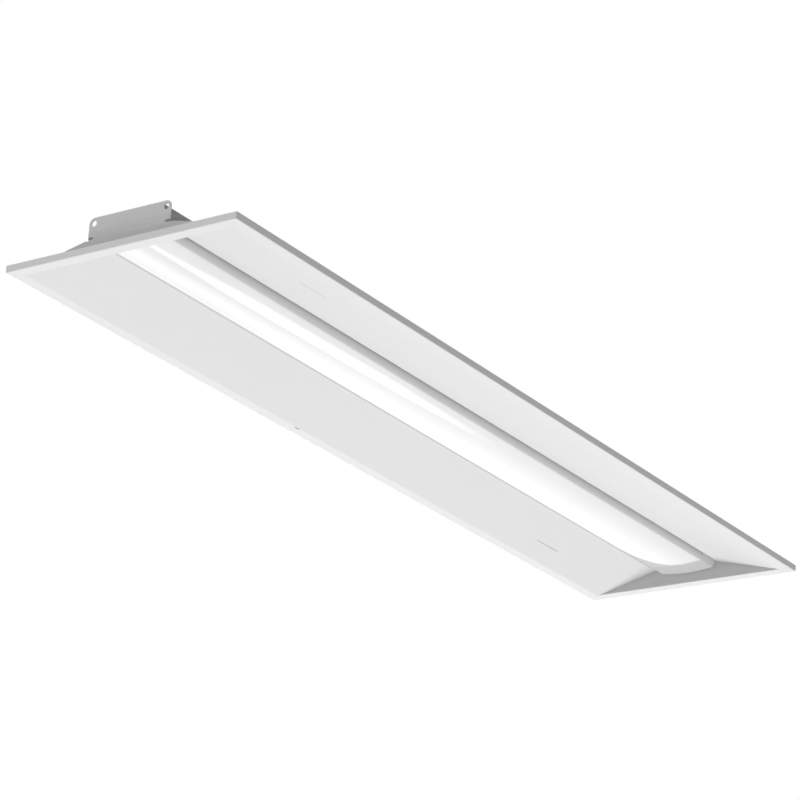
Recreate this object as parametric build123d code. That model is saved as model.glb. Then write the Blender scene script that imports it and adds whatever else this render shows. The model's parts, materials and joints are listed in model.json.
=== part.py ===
from build123d import *
from math import atan2, copysign, cos, radians, sin, tan
import os

# Millimetres. X runs along the light, +Z points up into the ceiling, and z = 0 is the
# underside of the rim. "Left" is the +Y side and "far" the +X end.

# The outside, for a 1 x 4 ft bay of a lay-in ceiling grid
length = 1213.0
width = 302.0
ear_top = 48.0
ear_rise = 2.7                # of the ears over the roof channel

# Sheet metal
sheet = 0.8
bend = 0.4                    # inner radius of every fold
seam = 0.1                    # gap where two sheets are butted
contact = 0.05                # gap where one sheet lies on another
free = 0.4                    # gap round pieces that move

# Rim, wings and basket
rim_width = 14.8
rim_lip = 8.2
basket_width = 85.0           # between the inner edges of the two wings
recess_depth = 24.5           # rise of a wing from the rim to the basket
roof_skirt = 12.4             # how far the roof channel laps down over the upstands
end_tab_height = 11.0

# End plates
ear_half_width = 54.0
ear_corner = 7.0
saddle_length = 30.0          # of each sloping saddle, across the light
saddle_depth = 12.0           # how far a saddle reaches in over the wing
saddle_rise = 1.2             # of its top over the wing's back, at the ear
saddle_flare = 1.3            # how much more that is at its outer end
relief = 3.2                  # diameter of the notch at each foot of the ear
hanger_side = 6.4             # from a hanger hole to the ear's side
hanger_drop = 6.8             # from a hanger hole to the ear's top
hanger_hole = 6.5             # diameter

# Slots in each side panel
clip_slot_end = 199.5         # from its middle to the light's end
clip_slot_inset = 33.2        # from the rim
clip_tab = 50.0
slot_play = 0.1
blade_slot_x = -99.0          # on the left panel
blade_slot_length = 8.0
blade_slot_width = 2.2

# Diffuser
lens_wall = 1.5
lens_drop = 10.6              # of its lowest line below the wings' inner edges
lens_crown = 2.8              # rise of the arched face from its middle to its edges
lens_taper = 5.1              # how much narrower the face is than the basket, each side
lens_leg = 5.5                # how far its legs stand up into the basket
lens_gap = 0.3                # each side, between its legs and the wings
lens_end_gap = 0.5
lens_corner = 1.4

# Lamp boards
board_width = 22.0
board_thick = 1.0
board_split = 4.0             # between the two boards of a row
board_end_gap = 1.0
row_spacing = 36.0            # between the middles of the two rows
led_count = 28                # on each board
led_size = (3.5, 2.8, 0.7)
board_screw_count = 5
board_screw_inset = 10.0
board_screw_head = 5.0
board_screw_head_height = 1.4
board_edge = 1.0              # from a screw head or a connector to the board's edge
connector_size = (8.0, 6.0, 2.4)
link_radius = 0.6
link_pitch = 2.4
feed_lead = 34.0              # from the lead hole to the middle of the feed's connector
baffle_inset = 28.7           # from the end wall
baffle_lift = 2.8             # over the diffuser's edge
baffle_flange = 10.0

# Screws and rivets through the roof channel
fastener_drop = 7.3           # below the roof
roof_screw_count = 6          # along each side
roof_screw_inset = 61.7       # of the last one from the end wall
fastener_room = 14.0          # least, between the middles of two in a row
screw_head = 7.0
screw_head_height = 3.0
screw_washer = 8.4
screw_washer_height = 0.75
screw_shank = 3.8
screw_reach = 2.0             # how far the tips stand inside
rivet_shank = 2.4
rivet_head = 4.6
rivet_head_height = 1.1

# Spring clips of the diffuser
lens_clip_count = 5           # along each side
lens_clip_inset = 111.7       # of the last one from the end wall
lens_clip_width = 16.0
lens_clip_sheet = 0.4
lens_clip_top_gap = 1.5       # under the roof
lens_clip_grip = 5.0          # how far a clip reaches down beside the leg
lens_clip_curl = 2.0

# Driver
wiring_room = 159.0           # between the near end wall and the driver
driver_length = 230.0
lead_room = 31.0              # between the driver and the far end wall
driver_inset = 22.0           # from the box's inner wall, along the floor
driver_width = 40.0
driver_height = 21.0
driver_foot = 13.0
driver_base_sheet = 1.0
driver_edge = 1.2
terminal_size = (9.0, 22.0, 11.0)
terminal_lift = 5.0
terminal_pitch = 7.0
stud_radius = 2.0
stud_height = 7.0
nut_across = 7.0
nut_height = 3.2

# Driver box on the back of the left wing
box_rim_gap = 9.6             # from its outer edge to the rim
box_lip = 6.0
box_end_flange = 10.0
box_wall_gap = 2.5            # from the inner wall's top to the cover
box_screw_insets = (19.0, 41.0)
cover_drop = 1.5              # from the ears' top to the underside of the cover
cover_side_gap = 0.5
cover_skirt_gap = 3.0         # from the cover's lower edge to the wing
cover_tongue_gap = 3.0        # from the tip of the cover's opening tongue to the rim's lip
knuckle_radius = 1.9
knuckle_length = 10.0         # of each fixed knuckle
cover_knuckle_length = 20.0
hinge_pin_radius = 1.0
hinge_play = 0.06
hinge_inset = 70.0            # of a hinge from the box's end
hinge_clear = 3.6             # radius kept free round the hinge line
head_clear = 0.3              # round a fastener's head, where the tray passes over it

# Wiring
wire_radius = 1.1
thin_wire_radius = 0.8
wire_bend = 9.0
entry_inset = 38.6            # from the box's outer edge
entry_lift = 15.3             # over the floor
entry_hole = 22.2             # diameter
bushing_bore = 16.0
bushing_flange = 26.0
bushing_lip = 2.0
bushing_length = 9.0
push_in_x = 64.0              # from the box's near end
push_in_size = (17.0, 7.0, 7.6)
push_in_pitch = 8.6
push_in_edge = 16.3           # from the last one's middle to the outer wall
push_in_straight = 20.0       # of a supply lead at its connector
driver_straight = 24.0        # and at the driver
lead_hole_inset = 25.0        # from the box's far end
grommet_radius = 4.6
grommet_bore = 5.6            # diameter
grommet_flange = 1.0
grommet_overlap = 1.2
lead_turn = 14.0              # from the box's inner wall to the LED leads' turn
lead_straight = 6.0           # of the LED leads, on each side of the basket's wall
feed_loop = 8.0               # of the LED leads inside the basket, across and along
feed_dip = 2.0
feed_straight = 18.0          # from the lead hole to where they run along the board
ground_inset = 37.0           # from the box's near end
ground_run = 4.0              # of the ground lead along the wall, past the connectors
ground_straight = 9.0         # of it at its connector
ground_loop = ((15.0, 0.36, 12.0), (19.0, 0.72, 6.0))  # along, share of the way down, height
ring_sheet = 0.8
ring_margin = 0.4
ring_neck = 1.0
barrel_wall = 0.5
barrel_length = 7.0

# Grid clips: bracket, pin and arm
bracket_length = 60.0
bracket_depth = 14.0
bracket_ear = 8.0
clip_reach = 53.7             # from the pin to the arm's tip
clip_width = 24.0
clip_sheet = 1.2
clip_hook = 6.0
clip_knuckle_radius = 2.9
clip_pin_radius = 1.5
clip_pin_play = 0.06
clip_pin_head = 2.6           # radius
clip_pin_head_height = 1.0

# Worked out from the sizes above
half_length = length / 2
half_width = width / 2
clip_slot_x = half_length - clip_slot_end
rim_x = half_length - rim_width
rim_y = half_width - rim_width
throat = basket_width / 2
wing_angle = atan2(recess_depth, rim_y - throat)
wing_normal = (0, sin(wing_angle), cos(wing_angle))
sheet_rise = sheet / cos(wing_angle)
roof_top = ear_top - ear_rise
roof_under = roof_top - sheet
roof_bottom = roof_top - roof_skirt
roof_y = throat + 2 * sheet + contact     # outer face of the roof channel
inner_half = rim_x - seam
fastener_z = roof_top - fastener_drop
screw_hole = screw_shank / 2
washer_radius = screw_washer / 2
rivet_hole = rivet_shank / 2

saddle_end = ear_half_width + saddle_length
clip_slot_y = rim_y - clip_slot_inset
lens_bottom = recess_depth - lens_drop
lens_edge_z = lens_bottom + lens_crown
lens_top = recess_depth + lens_leg
lens_half_face = throat - lens_taper
lens_half_top = throat - lens_gap
baffle_x = rim_x - baffle_inset
board_length = baffle_x - board_end_gap - board_split / 2
board_under = roof_under - board_thick
row_y = row_spacing / 2

box_length = wiring_room + driver_length + lead_room
box_near = blade_slot_x - box_length / 2
box_far = blade_slot_x + box_length / 2
box_wall_y = roof_y + contact
box_inside_y = box_wall_y + sheet
box_outer_y = rim_y - box_rim_gap
cover_under = ear_top - cover_drop
hinge_y = roof_y + free + knuckle_radius
hinge_z = cover_under + sheet - knuckle_radius
hinge_middles = (box_near + hinge_inset, box_far - hinge_inset)
fixed_knuckle_offset = (cover_knuckle_length + knuckle_length) / 2 + free
wall_top = cover_under - box_wall_gap     # of the box's inner wall and of its ends
entry_y = box_outer_y - entry_inset


def evenly(count, half_span):
    """Positions of a row of fasteners, the same distance apart and symmetrical about zero."""
    return [(2 * index / (count - 1) - 1) * half_span for index in range(count)]


def clear_of(x, taken):
    """The place nearest to x that keeps off the fasteners already there."""
    nearest = min(taken, key=lambda other: abs(x - other))
    if abs(x - nearest) >= fastener_room:
        return x
    return nearest + copysign(fastener_room, x - nearest)


roof_screw_x = evenly(roof_screw_count, rim_x - roof_screw_inset)
lens_clip_x = evenly(lens_clip_count, rim_x - lens_clip_inset)
taken = [*roof_screw_x, *lens_clip_x]
lead_hole_x = clear_of(box_far - lead_hole_inset, taken)
ground_x = clear_of(box_near + ground_inset, taken)
taken += [lead_hole_x, ground_x]
box_screw_x = [
    clear_of(x, taken) for x in (box_near + box_screw_insets[0], box_far - box_screw_insets[1])
]
feed_x = lead_hole_x - feed_lead


def wing_under(y):
    return (rim_y - y) * tan(wing_angle)


def wing_back(y):
    return wing_under(y) + sheet_rise


def floor_top(y):
    return wing_back(y) + contact + sheet_rise


def turned(piece):
    """The same piece, turned half round to the other side."""
    return Rot(0, 0, 180) * piece


def folded(path, thickness, radius, start_x, end_x):
    """A folded sheet. The path is one of its faces in (y, z), and the sheet lies to its right."""
    points = [Vector(*point) for point in path]
    steps = [(after - before).normalized() for before, after in zip(points, points[1:])]
    normals = [Vector(step.Y, -step.X) for step in steps]
    back = [points[0] + normals[0] * thickness]
    radii = [0.0]
    back_radii = [0.0]
    for point, before, after in zip(points[1:-1], normals, normals[1:]):
        back.append(point + (before + after) * (thickness / (1 + before.dot(after))))
        turns_right = before.X * after.Y - before.Y * after.X < 0
        radii.append(radius + thickness if turns_right else radius)
        back_radii.append(radius if turns_right else radius + thickness)
    back.append(points[-1] + normals[-1] * thickness)
    radii.append(0.0)
    back_radii.append(0.0)
    outline = FilletPolyline(*points, *reversed(back), radius=radii + back_radii[::-1], close=True)
    return Pos(start_x, 0, 0) * extrude(Plane.YZ * make_face(outline), end_x - start_x)


def plate_across(outline, start_x, thickness):
    """A flat plate that stands across the light, from its outline in (y, z)."""
    face = make_face(Polyline(*outline, close=True))
    return Pos(start_x, 0, 0) * extrude(Plane.YZ * face, thickness)


def block(low, high):
    """A box between two opposite corners, given in any order."""
    size = [abs(b - a) for a, b in zip(low, high)]
    middle = [(a + b) / 2 for a, b in zip(low, high)]
    return Pos(*middle) * Box(*size)


def rod(start, direction, radius, reach):
    """A cylinder from a point, along a direction."""
    return extrude(Plane(origin=start, z_dir=direction) * Circle(radius), reach)


def side_hole(x, z, radius):
    """A cutter through every sheet on the left of the basket."""
    return rod((x, throat - 1, z), (0, 1, 0), radius, box_inside_y - throat + 2)


def lead(points, radius):
    """A wire along straight runs joined by tangent arcs, as wide as the runs allow."""
    runs = [Vector(*after) - Vector(*before) for before, after in zip(points, points[1:])]
    bends = []
    for before, after in zip(runs, runs[1:]):
        half_turn = radians(before.get_angle(after)) / 2
        bends.append(min(0.45 * min(before.length, after.length) / tan(half_turn), wire_bend))
    path = FilletPolyline(*points, radius=bends)
    return sweep(Plane(origin=path @ 0, z_dir=path % 0) * Circle(radius), path=path)


def hex_screw(seat, shank_reach):
    """A hexagon washer-head screw that is driven towards -Y from its seat."""
    washer = rod(seat, (0, 1, 0), washer_radius, screw_washer_height)
    hexagon = Plane(origin=seat, z_dir=(0, 1, 0)) * RegularPolygon(screw_head / 2, 6)
    head = extrude(hexagon, screw_head_height)
    return washer + head + rod(seat, (0, -1, 0), screw_shank / 2, shank_reach)


def write(name, *pieces):
    """One file for one named piece, or for a group of alike ones."""
    os.makedirs("parts", exist_ok=True)
    solids = [solid for piece in pieces for solid in piece.solids()]
    export_step(Compound(children=solids), f"parts/{name}.step")


# Side panels: lip, rim, wing and upstand, folded from one sheet
def make_side_panel():
    path = [
        (half_width, rim_lip),
        (half_width, 0),
        (rim_y, 0),
        (throat, recess_depth),
        (throat, roof_under - bend),
    ]
    panel = folded(path, sheet, bend, -half_length, half_length)
    beyond = rim_width + 1
    end_cut = Polyline(
        (rim_x - seam, 0),
        (rim_x - seam, rim_y),
        (rim_x - seam + beyond, rim_y + beyond),
        (rim_x - seam + beyond, 0),
        close=True,
    )
    mitre = Pos(0, 0, -1) * extrude(make_face(end_cut), ear_top)
    panel -= mitre
    panel -= mirror(mitre, Plane.YZ)
    slot_half = clip_tab / 2 + slot_play
    panel -= block(
        (clip_slot_x - slot_half, clip_slot_y - slot_play, -1),
        (clip_slot_x + slot_half, clip_slot_y + sheet + slot_play, recess_depth),
    )
    for x in (*roof_screw_x, *box_screw_x, ground_x):
        panel -= side_hole(x, fastener_z, screw_hole)
    for x in lens_clip_x:
        panel -= side_hole(x, fastener_z, rivet_hole)
    return panel - side_hole(lead_hole_x, fastener_z, grommet_radius)


side_panel = make_side_panel()
blade_slot = block(
    (blade_slot_x - blade_slot_length / 2, rim_y, -1),
    (blade_slot_x + blade_slot_length / 2, rim_y + blade_slot_width, rim_lip),
)
write("side_panel_left", side_panel - blade_slot)
write("side_panel_right", turned(side_panel))


# Roof channel over the two upstands, with a tab at each end, and its screws
def make_roof_channel():
    path = [(-roof_y, roof_bottom), (-roof_y, roof_top), (roof_y, roof_top), (roof_y, roof_bottom)]
    roof = folded(path, sheet, bend, -inner_half, inner_half)
    tab = block(
        (inner_half - sheet, -throat + 1, roof_under - end_tab_height),
        (inner_half, throat - 1, roof_under + sheet / 2),
    )
    roof += tab
    roof += turned(tab)
    for x in roof_screw_x:
        hole = side_hole(x, fastener_z, screw_hole)
        roof -= hole
        roof -= turned(hole)
    for x in lens_clip_x:
        hole = side_hole(x, fastener_z, rivet_hole)
        roof -= hole
        roof -= turned(hole)
    for x in (*box_screw_x, ground_x):
        roof -= side_hole(x, fastener_z, screw_hole)
    return roof - side_hole(lead_hole_x, fastener_z, grommet_radius)


write("roof_channel", make_roof_channel())
roof_screws = [
    hex_screw((x, roof_y, fastener_z), roof_y - throat + screw_reach) for x in roof_screw_x
]
write("roof_screws", *roof_screws, *[turned(screw) for screw in roof_screws])


# End plates: rim end, wall, two saddles over the wings, and the ear with its hanger holes
def make_end_plate():
    path = [(half_length, rim_lip), (half_length, 0), (rim_x, 0), (rim_x, ear_top)]
    half_strip = half_width - sheet - seam
    plate = Rot(0, 0, -90) * folded(path, sheet, bend, -half_strip, half_strip)
    foot_z = wing_back(ear_half_width) + saddle_rise
    saddle_z = wing_back(saddle_end) + saddle_rise + saddle_flare
    half_outline = [
        (ear_half_width, ear_top),
        (ear_half_width, foot_z),
        (saddle_end, saddle_z),
        (saddle_end, wing_back(saddle_end)),
        (rim_y, sheet_rise),
        (rim_y, -1),
    ]
    radii = [ear_corner] + [0.0] * (len(half_outline) - 1)
    outline = FilletPolyline(
        *half_outline,
        *[(-y, z) for y, z in reversed(half_outline)],
        radius=radii + radii[::-1],
        close=True,
    )
    keep = Pos(rim_x - 2, 0, 0) * extrude(Plane.YZ * make_face(outline), sheet + 4)
    wall_zone = block(
        (rim_x - 1, -half_width, sheet + bend),
        (rim_x + sheet, half_width, ear_top + 1),
    )
    plate -= wall_zone - keep
    corner = Polyline(
        (rim_x, rim_y),
        (half_length + 1, half_width + 1),
        (rim_x - 1, half_width + 1),
        (rim_x - 1, rim_y),
        close=True,
    )
    mitre = Pos(0, 0, -1) * extrude(make_face(corner), rim_lip + 2)
    plate -= mitre
    plate -= mirror(mitre, Plane.XZ)
    saddle_angle = atan2(foot_z - saddle_z, saddle_length)
    for side in (-1, 1):
        slope = Plane(
            origin=(rim_x, side * ear_half_width, foot_z),
            x_dir=(1, 0, 0),
            z_dir=(0, side * sin(saddle_angle), cos(saddle_angle)),
        )
        span = side * saddle_length / cos(saddle_angle)
        plate += slope * block((-saddle_depth, side * relief / 2, -sheet), (sheet, span, 0))
        notch_at = (rim_x - 1, side * (ear_half_width + relief / 4), foot_z)
        plate -= rod(notch_at, (1, 0, 0), relief / 2, sheet + 2)
        hole_at = (rim_x - 1, side * (ear_half_width - hanger_side), ear_top - hanger_drop)
        plate -= rod(hole_at, (1, 0, 0), hanger_hole / 2, sheet + 2)
    return plate


end_plate = make_end_plate()
write("end_plate_far", end_plate)
write("end_plate_near", turned(end_plate))


# Light baffles that close the lit part of the basket
def make_baffle():
    shoulder = lens_top + 3 * free
    half_outline = [
        (lens_half_face, lens_edge_z + lens_wall + baffle_lift),
        (lens_half_face, shoulder),
        (throat - seam, shoulder),
        (throat - seam, roof_under),
    ]
    outline = half_outline + [(-y, z) for y, z in reversed(half_outline)]
    plate = plate_across(outline, baffle_x, sheet)
    flange = block(
        (baffle_x, -lens_half_face, roof_under - sheet),
        (baffle_x + baffle_flange, lens_half_face, roof_under),
    )
    return plate + flange


baffle = make_baffle()
write("light_baffle_far", baffle)
write("light_baffle_near", turned(baffle))


# Diffuser: a shallow arched tray with two legs
def make_lens():
    arch = ThreePointArc(
        (-lens_half_face, lens_edge_z), (0, lens_bottom), (lens_half_face, lens_edge_z)
    )
    sides = Polyline(
        (lens_half_face, lens_edge_z),
        (lens_half_top, recess_depth),
        (lens_half_top, lens_top),
        (-lens_half_top, lens_top),
        (-lens_half_top, recess_depth),
        (-lens_half_face, lens_edge_z),
    )
    outside = make_face(arch.edges() + sides.edges())
    corners = outside.vertices().filter_by_position(Axis.Y, lens_edge_z - seam, lens_edge_z + seam)
    outside = fillet(corners, lens_corner + lens_wall)
    hollow = offset(outside, -lens_wall, kind=Kind.INTERSECTION)
    mouth = Pos(0, lens_top) * Rectangle(2 * (lens_half_top - lens_wall), 4 * lens_wall)
    return extrude(Plane.YZ * (outside - hollow - mouth), rim_x - lens_end_gap, both=True)


write("lens", make_lens())

# Lamp boards with their LEDs and screws
screw_side = board_width / 2 - board_screw_head / 2 - board_edge
board_screw_x = evenly(board_screw_count, board_length / 2 - board_screw_inset)
led_pitch = board_length / led_count
led_x = evenly(led_count, (led_count - 1) / 2 * led_pitch)
board_screws = []
board_places = [
    (end * (board_split + board_length) / 2, side * row_y) for side in (1, -1) for end in (1, -1)
]
for number, (x, y) in enumerate(board_places, start=1):
    board = block(
        (x - board_length / 2, y - board_width / 2, board_under),
        (x + board_length / 2, y + board_width / 2, roof_under),
    )
    screw_y = y + (screw_side if y > 0 else -screw_side)
    for offset_x in board_screw_x:
        seat = (x + offset_x, screw_y, board_under)
        board -= rod(seat, (0, 0, 1), board_screw_head / 4, board_thick)
        head = rod(seat, (0, 0, -1), board_screw_head / 2, board_screw_head_height)
        board_screws.append(head + rod(seat, (0, 0, 1), board_screw_head / 4, board_thick))
    write(f"led_board_{number}", board)
    leds = [
        block(
            (x + offset_x - led_size[0] / 2, y - led_size[1] / 2, board_under - led_size[2]),
            (x + offset_x + led_size[0] / 2, y + led_size[1] / 2, board_under),
        )
        for offset_x in led_x
    ]
    write(f"led_packages_{number}", *leds)
write("board_screws", *board_screws)

# Connectors on the boards' inner edges, and the short wires that link the boards
connector_y = row_y - board_width / 2 + connector_size[1] / 2 + board_edge
link_x = (connector_size[0] + board_split) / 2 + board_edge
cross_x = -link_x - connector_size[0] - 2 * board_edge
link_z = board_under - connector_size[2] / 2
link_offsets = (-link_pitch / 2, link_pitch / 2)
connector_places = [(end * link_x, side * connector_y) for side in (1, -1) for end in (1, -1)]
connector_places += [(cross_x, connector_y), (cross_x, -connector_y), (feed_x, connector_y)]
connectors = [
    block(
        (x - connector_size[0] / 2, y - connector_size[1] / 2, board_under - connector_size[2]),
        (x + connector_size[0] / 2, y + connector_size[1] / 2, board_under),
    )
    for x, y in connector_places
]
write("board_connectors", *connectors)

link_reach = link_x - connector_size[0] / 2
cross_reach = connector_y - connector_size[1] / 2
links = [
    rod((-link_reach, side * connector_y + offset_y, link_z), (1, 0, 0), link_radius, 2 * link_reach)
    for side in (1, -1)
    for offset_y in link_offsets
]
links += [
    rod((cross_x + offset_x, -cross_reach, link_z), (0, 1, 0), link_radius, 2 * cross_reach)
    for offset_x in link_offsets
]
write("board_links", *links)


# Spring clips that grip the legs of the diffuser from inside, and their rivets
def make_lens_clip(x):
    tongue_y = lens_half_top - lens_wall - free
    step_z = lens_top + 3 * free
    tip_z = lens_top - lens_clip_grip
    path = [
        (throat, roof_under - lens_clip_top_gap),
        (throat, step_z),
        (tongue_y, step_z - free),
        (tongue_y, tip_z + lens_clip_curl),
        (tongue_y - lens_clip_curl, tip_z),
    ]
    half = lens_clip_width / 2
    clip = folded(path, lens_clip_sheet, lens_clip_sheet / 2, x - half, x + half)
    return clip - rod((x, tongue_y - 1, fastener_z), (0, 1, 0), rivet_hole, throat)


def make_lens_clip_rivet(x):
    inner = (x, throat - lens_clip_sheet, fastener_z)
    outer = (x, roof_y, fastener_z)
    rivet = rod(inner, (0, 1, 0), rivet_hole, roof_y - throat + lens_clip_sheet)
    rivet += rod(inner, (0, -1, 0), rivet_head / 2, rivet_head_height)
    return rivet + rod(outer, (0, 1, 0), rivet_head / 2, rivet_head_height)


lens_clips = [make_lens_clip(x) for x in lens_clip_x]
lens_clip_rivets = [make_lens_clip_rivet(x) for x in lens_clip_x]
write("lens_clips_left", *lens_clips)
write("lens_clips_right", *[turned(clip) for clip in lens_clips])
write("lens_clip_rivets", *lens_clip_rivets, *[turned(rivet) for rivet in lens_clip_rivets])

# The box floor's own frame: u along the light, v down the slope from the inner wall, w off it
floor_plane = Plane(
    origin=(0, box_inside_y, floor_top(box_inside_y)),
    x_dir=(1, 0, 0),
    z_dir=wing_normal,
)
floor_span = (box_outer_y - sheet - box_inside_y) / cos(wing_angle)
entry_z = floor_top(entry_y) + entry_lift
driver_near = box_near + wiring_room
driver_far = driver_near + driver_length
driver_middle_v = driver_inset + driver_width / 2
stud_u = (driver_near - driver_foot / 2, driver_far + driver_foot / 2)
studs = [
    floor_plane * rod((u, driver_middle_v, -sheet), (0, 0, 1), stud_radius, stud_height + sheet)
    for u in stud_u
]


def on_floor(u, v, w):
    return tuple(floor_plane.from_local_coords(Vector(u, v, w)))


# Driver box: a tray on the wing's back, with hinge knuckles and a lip
def make_knuckle(x, span, bore):
    start = (x - span / 2, hinge_y, hinge_z)
    return rod(start, (1, 0, 0), knuckle_radius, span) - rod(start, (1, 0, 0), bore, span)


def make_driver_box():
    outer_base = wing_back(box_outer_y) + contact
    path = [
        (-box_wall_y, hinge_z),
        (-box_wall_y, wing_back(box_wall_y) + contact),
        (-box_outer_y, outer_base),
        (-box_outer_y, outer_base + box_lip),
    ]
    tray = mirror(folded(path, sheet, bend, box_near, box_far), Plane.XZ)
    above_wall = block(
        (box_near - 1, roof_y, wall_top),
        (box_far + 1, box_inside_y + 1, ear_top),
    )
    hinge_half = fixed_knuckle_offset + knuckle_length / 2
    window_half = cover_knuckle_length / 2 + free
    for x in hinge_middles:
        above_wall -= block((x - hinge_half, 0, 0), (x + hinge_half, half_width, ear_top))
    tray -= above_wall
    for x in hinge_middles:
        tray -= block(
            (x - window_half, roof_y, hinge_z - knuckle_radius - free),
            (x + window_half, hinge_y + knuckle_radius, ear_top),
        )
        for end in (-1, 1):
            knuckle_x = x + end * fixed_knuckle_offset
            tray += make_knuckle(knuckle_x, knuckle_length, hinge_pin_radius)
    for x in roof_screw_x:
        tray -= side_hole(x, fastener_z, washer_radius + head_clear)
    for x in lens_clip_x:
        tray -= side_hole(x, fastener_z, rivet_head / 2 + head_clear)
    for x in (*box_screw_x, ground_x):
        tray -= side_hole(x, fastener_z, screw_hole)
    tray -= side_hole(lead_hole_x, fastener_z, grommet_radius)
    for stud in studs:
        tray -= stud
    return tray


# An end of the box: a wall that stands on the floor, with a flange along its foot
def make_box_end(start_x, inward):
    inner_y = box_inside_y + free
    outer_y = box_outer_y - sheet - free
    foot = contact + sheet / 2
    outline = [
        (inner_y, floor_top(inner_y) + foot),
        (inner_y, wall_top),
        (hinge_y + hinge_clear, wall_top),
        (hinge_y + hinge_clear, cover_under - free),
        (outer_y, cover_under - free),
        (outer_y, floor_top(outer_y) + foot),
    ]
    wall = plate_across(outline, min(start_x, start_x + inward * sheet), sheet)
    wall -= rod((start_x - 1, entry_y, entry_z), (1, 0, 0), entry_hole / 2, 2)
    flange = block(
        (start_x, free, contact),
        (start_x + inward * box_end_flange, floor_span - free, sheet + contact),
    )
    return wall + floor_plane * flange


write("driver_box", make_driver_box())
write("driver_box_end_near", make_box_end(box_near, 1))
write("driver_box_end_far", make_box_end(box_far, -1))
box_screw_reach = box_inside_y - throat + screw_reach
box_screws = [hex_screw((x, box_inside_y, fastener_z), box_screw_reach) for x in box_screw_x]
write("driver_box_screws", *box_screws)
pin_half = fixed_knuckle_offset + knuckle_length / 2
hinge_pins = [
    rod((x - pin_half, hinge_y, hinge_z), (1, 0, 0), hinge_pin_radius, 2 * pin_half)
    for x in hinge_middles
]
write("hinge_pins", *hinge_pins)


# Cover of the driver box, with a tongue over the rim's slot, so that a blade can lift it
def make_driver_cover():
    outer_y = box_outer_y + cover_side_gap + sheet
    leaf_y = hinge_y + hinge_clear - free
    skirt_z = wing_back(outer_y) + cover_skirt_gap
    tongue_tip = half_width - sheet - cover_tongue_gap
    path = [(leaf_y, cover_under + sheet), (outer_y, cover_under + sheet), (outer_y, skirt_z)]
    cover = folded(path, sheet, bend, box_near, box_far)
    cover += block(
        (blade_slot_x - blade_slot_length / 2, outer_y - sheet, skirt_z),
        (blade_slot_x + blade_slot_length / 2, tongue_tip, skirt_z + sheet),
    )
    bore = hinge_pin_radius + hinge_play
    half = cover_knuckle_length / 2
    for x in hinge_middles:
        cover += block((x - half, hinge_y, cover_under), (x + half, leaf_y + 1, cover_under + sheet))
        cover += make_knuckle(x, cover_knuckle_length, bore)
    return cover


write("driver_cover", make_driver_cover())


# Driver, held to the floor by two studs and nuts
def make_terminal(face_u, inward):
    low_v = driver_middle_v - terminal_size[1] / 2
    return block(
        (face_u, low_v, terminal_lift),
        (face_u + inward * terminal_size[0], low_v + terminal_size[1], terminal_lift + terminal_size[2]),
    )


terminal_in = make_terminal(driver_near, 1)
terminal_out = make_terminal(driver_far, -1)
case = block(
    (driver_near, driver_inset, driver_base_sheet),
    (driver_far, driver_inset + driver_width, driver_height),
)
case = fillet(case.edges().filter_by(Axis.X).group_by(Axis.Z)[-1], driver_edge)
base = block(
    (driver_near - driver_foot, driver_inset, 0),
    (driver_far + driver_foot, driver_inset + driver_width, driver_base_sheet),
)
nuts = []
for u in stud_u:
    hole = rod((u, driver_middle_v, 0), (0, 0, 1), stud_radius, stud_height)
    base -= hole
    nut_seat = Plane(origin=(u, driver_middle_v, driver_base_sheet))
    nut_outline = RegularPolygon(nut_across / 2, 6, major_radius=False)
    nuts.append(floor_plane * (extrude(nut_seat * nut_outline, nut_height) - hole))
write("driver_base", floor_plane * base)
write("driver_case", floor_plane * (case - terminal_in - terminal_out))
write("driver_terminal_in", floor_plane * terminal_in)
write("driver_terminal_out", floor_plane * terminal_out)
write("driver_studs", *studs)
write("driver_nuts", *nuts)

# Cable entry and knock-out
bushing_start = (box_near - bushing_lip, entry_y, entry_z)
bushing = rod(bushing_start, (1, 0, 0), bushing_flange / 2, bushing_lip)
bushing += rod(bushing_start, (1, 0, 0), entry_hole / 2, bushing_length)
bushing -= rod(bushing_start, (1, 0, 0), bushing_bore / 2, bushing_length)
write("cable_bushing", bushing)
disc_radius = entry_hole / 2 - seam
write("knockout_disc", rod((box_far - sheet, entry_y, entry_z), (1, 0, 0), disc_radius, sheet))

# Push-in connectors for the building's wires, and the live and neutral leads
push_in_u = box_near + push_in_x
push_in_face = push_in_u + push_in_size[0] / 2
push_in_v = [floor_span - push_in_edge - index * push_in_pitch for index in (2, 1, 0)]
push_in_w = push_in_size[2] / 2
push_ins = [
    floor_plane
    * block(
        (push_in_u - push_in_size[0] / 2, v - push_in_size[1] / 2, 0),
        (push_in_face, v + push_in_size[1] / 2, push_in_size[2]),
    )
    for v in push_in_v
]
write("wire_connectors", *push_ins)

terminal_w = terminal_lift + terminal_size[2] / 2
for name, v, side in (("lead_live", push_in_v[1], -1), ("lead_neutral", push_in_v[2], 1)):
    terminal_v = driver_middle_v + side * terminal_pitch / 2
    route = [
        on_floor(push_in_face, v, push_in_w),
        on_floor(push_in_face + push_in_straight, v, push_in_w),
        on_floor(driver_near - driver_straight, terminal_v, terminal_w),
        on_floor(driver_near, terminal_v, terminal_w),
    ]
    write(name, lead(route, wire_radius))

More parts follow.
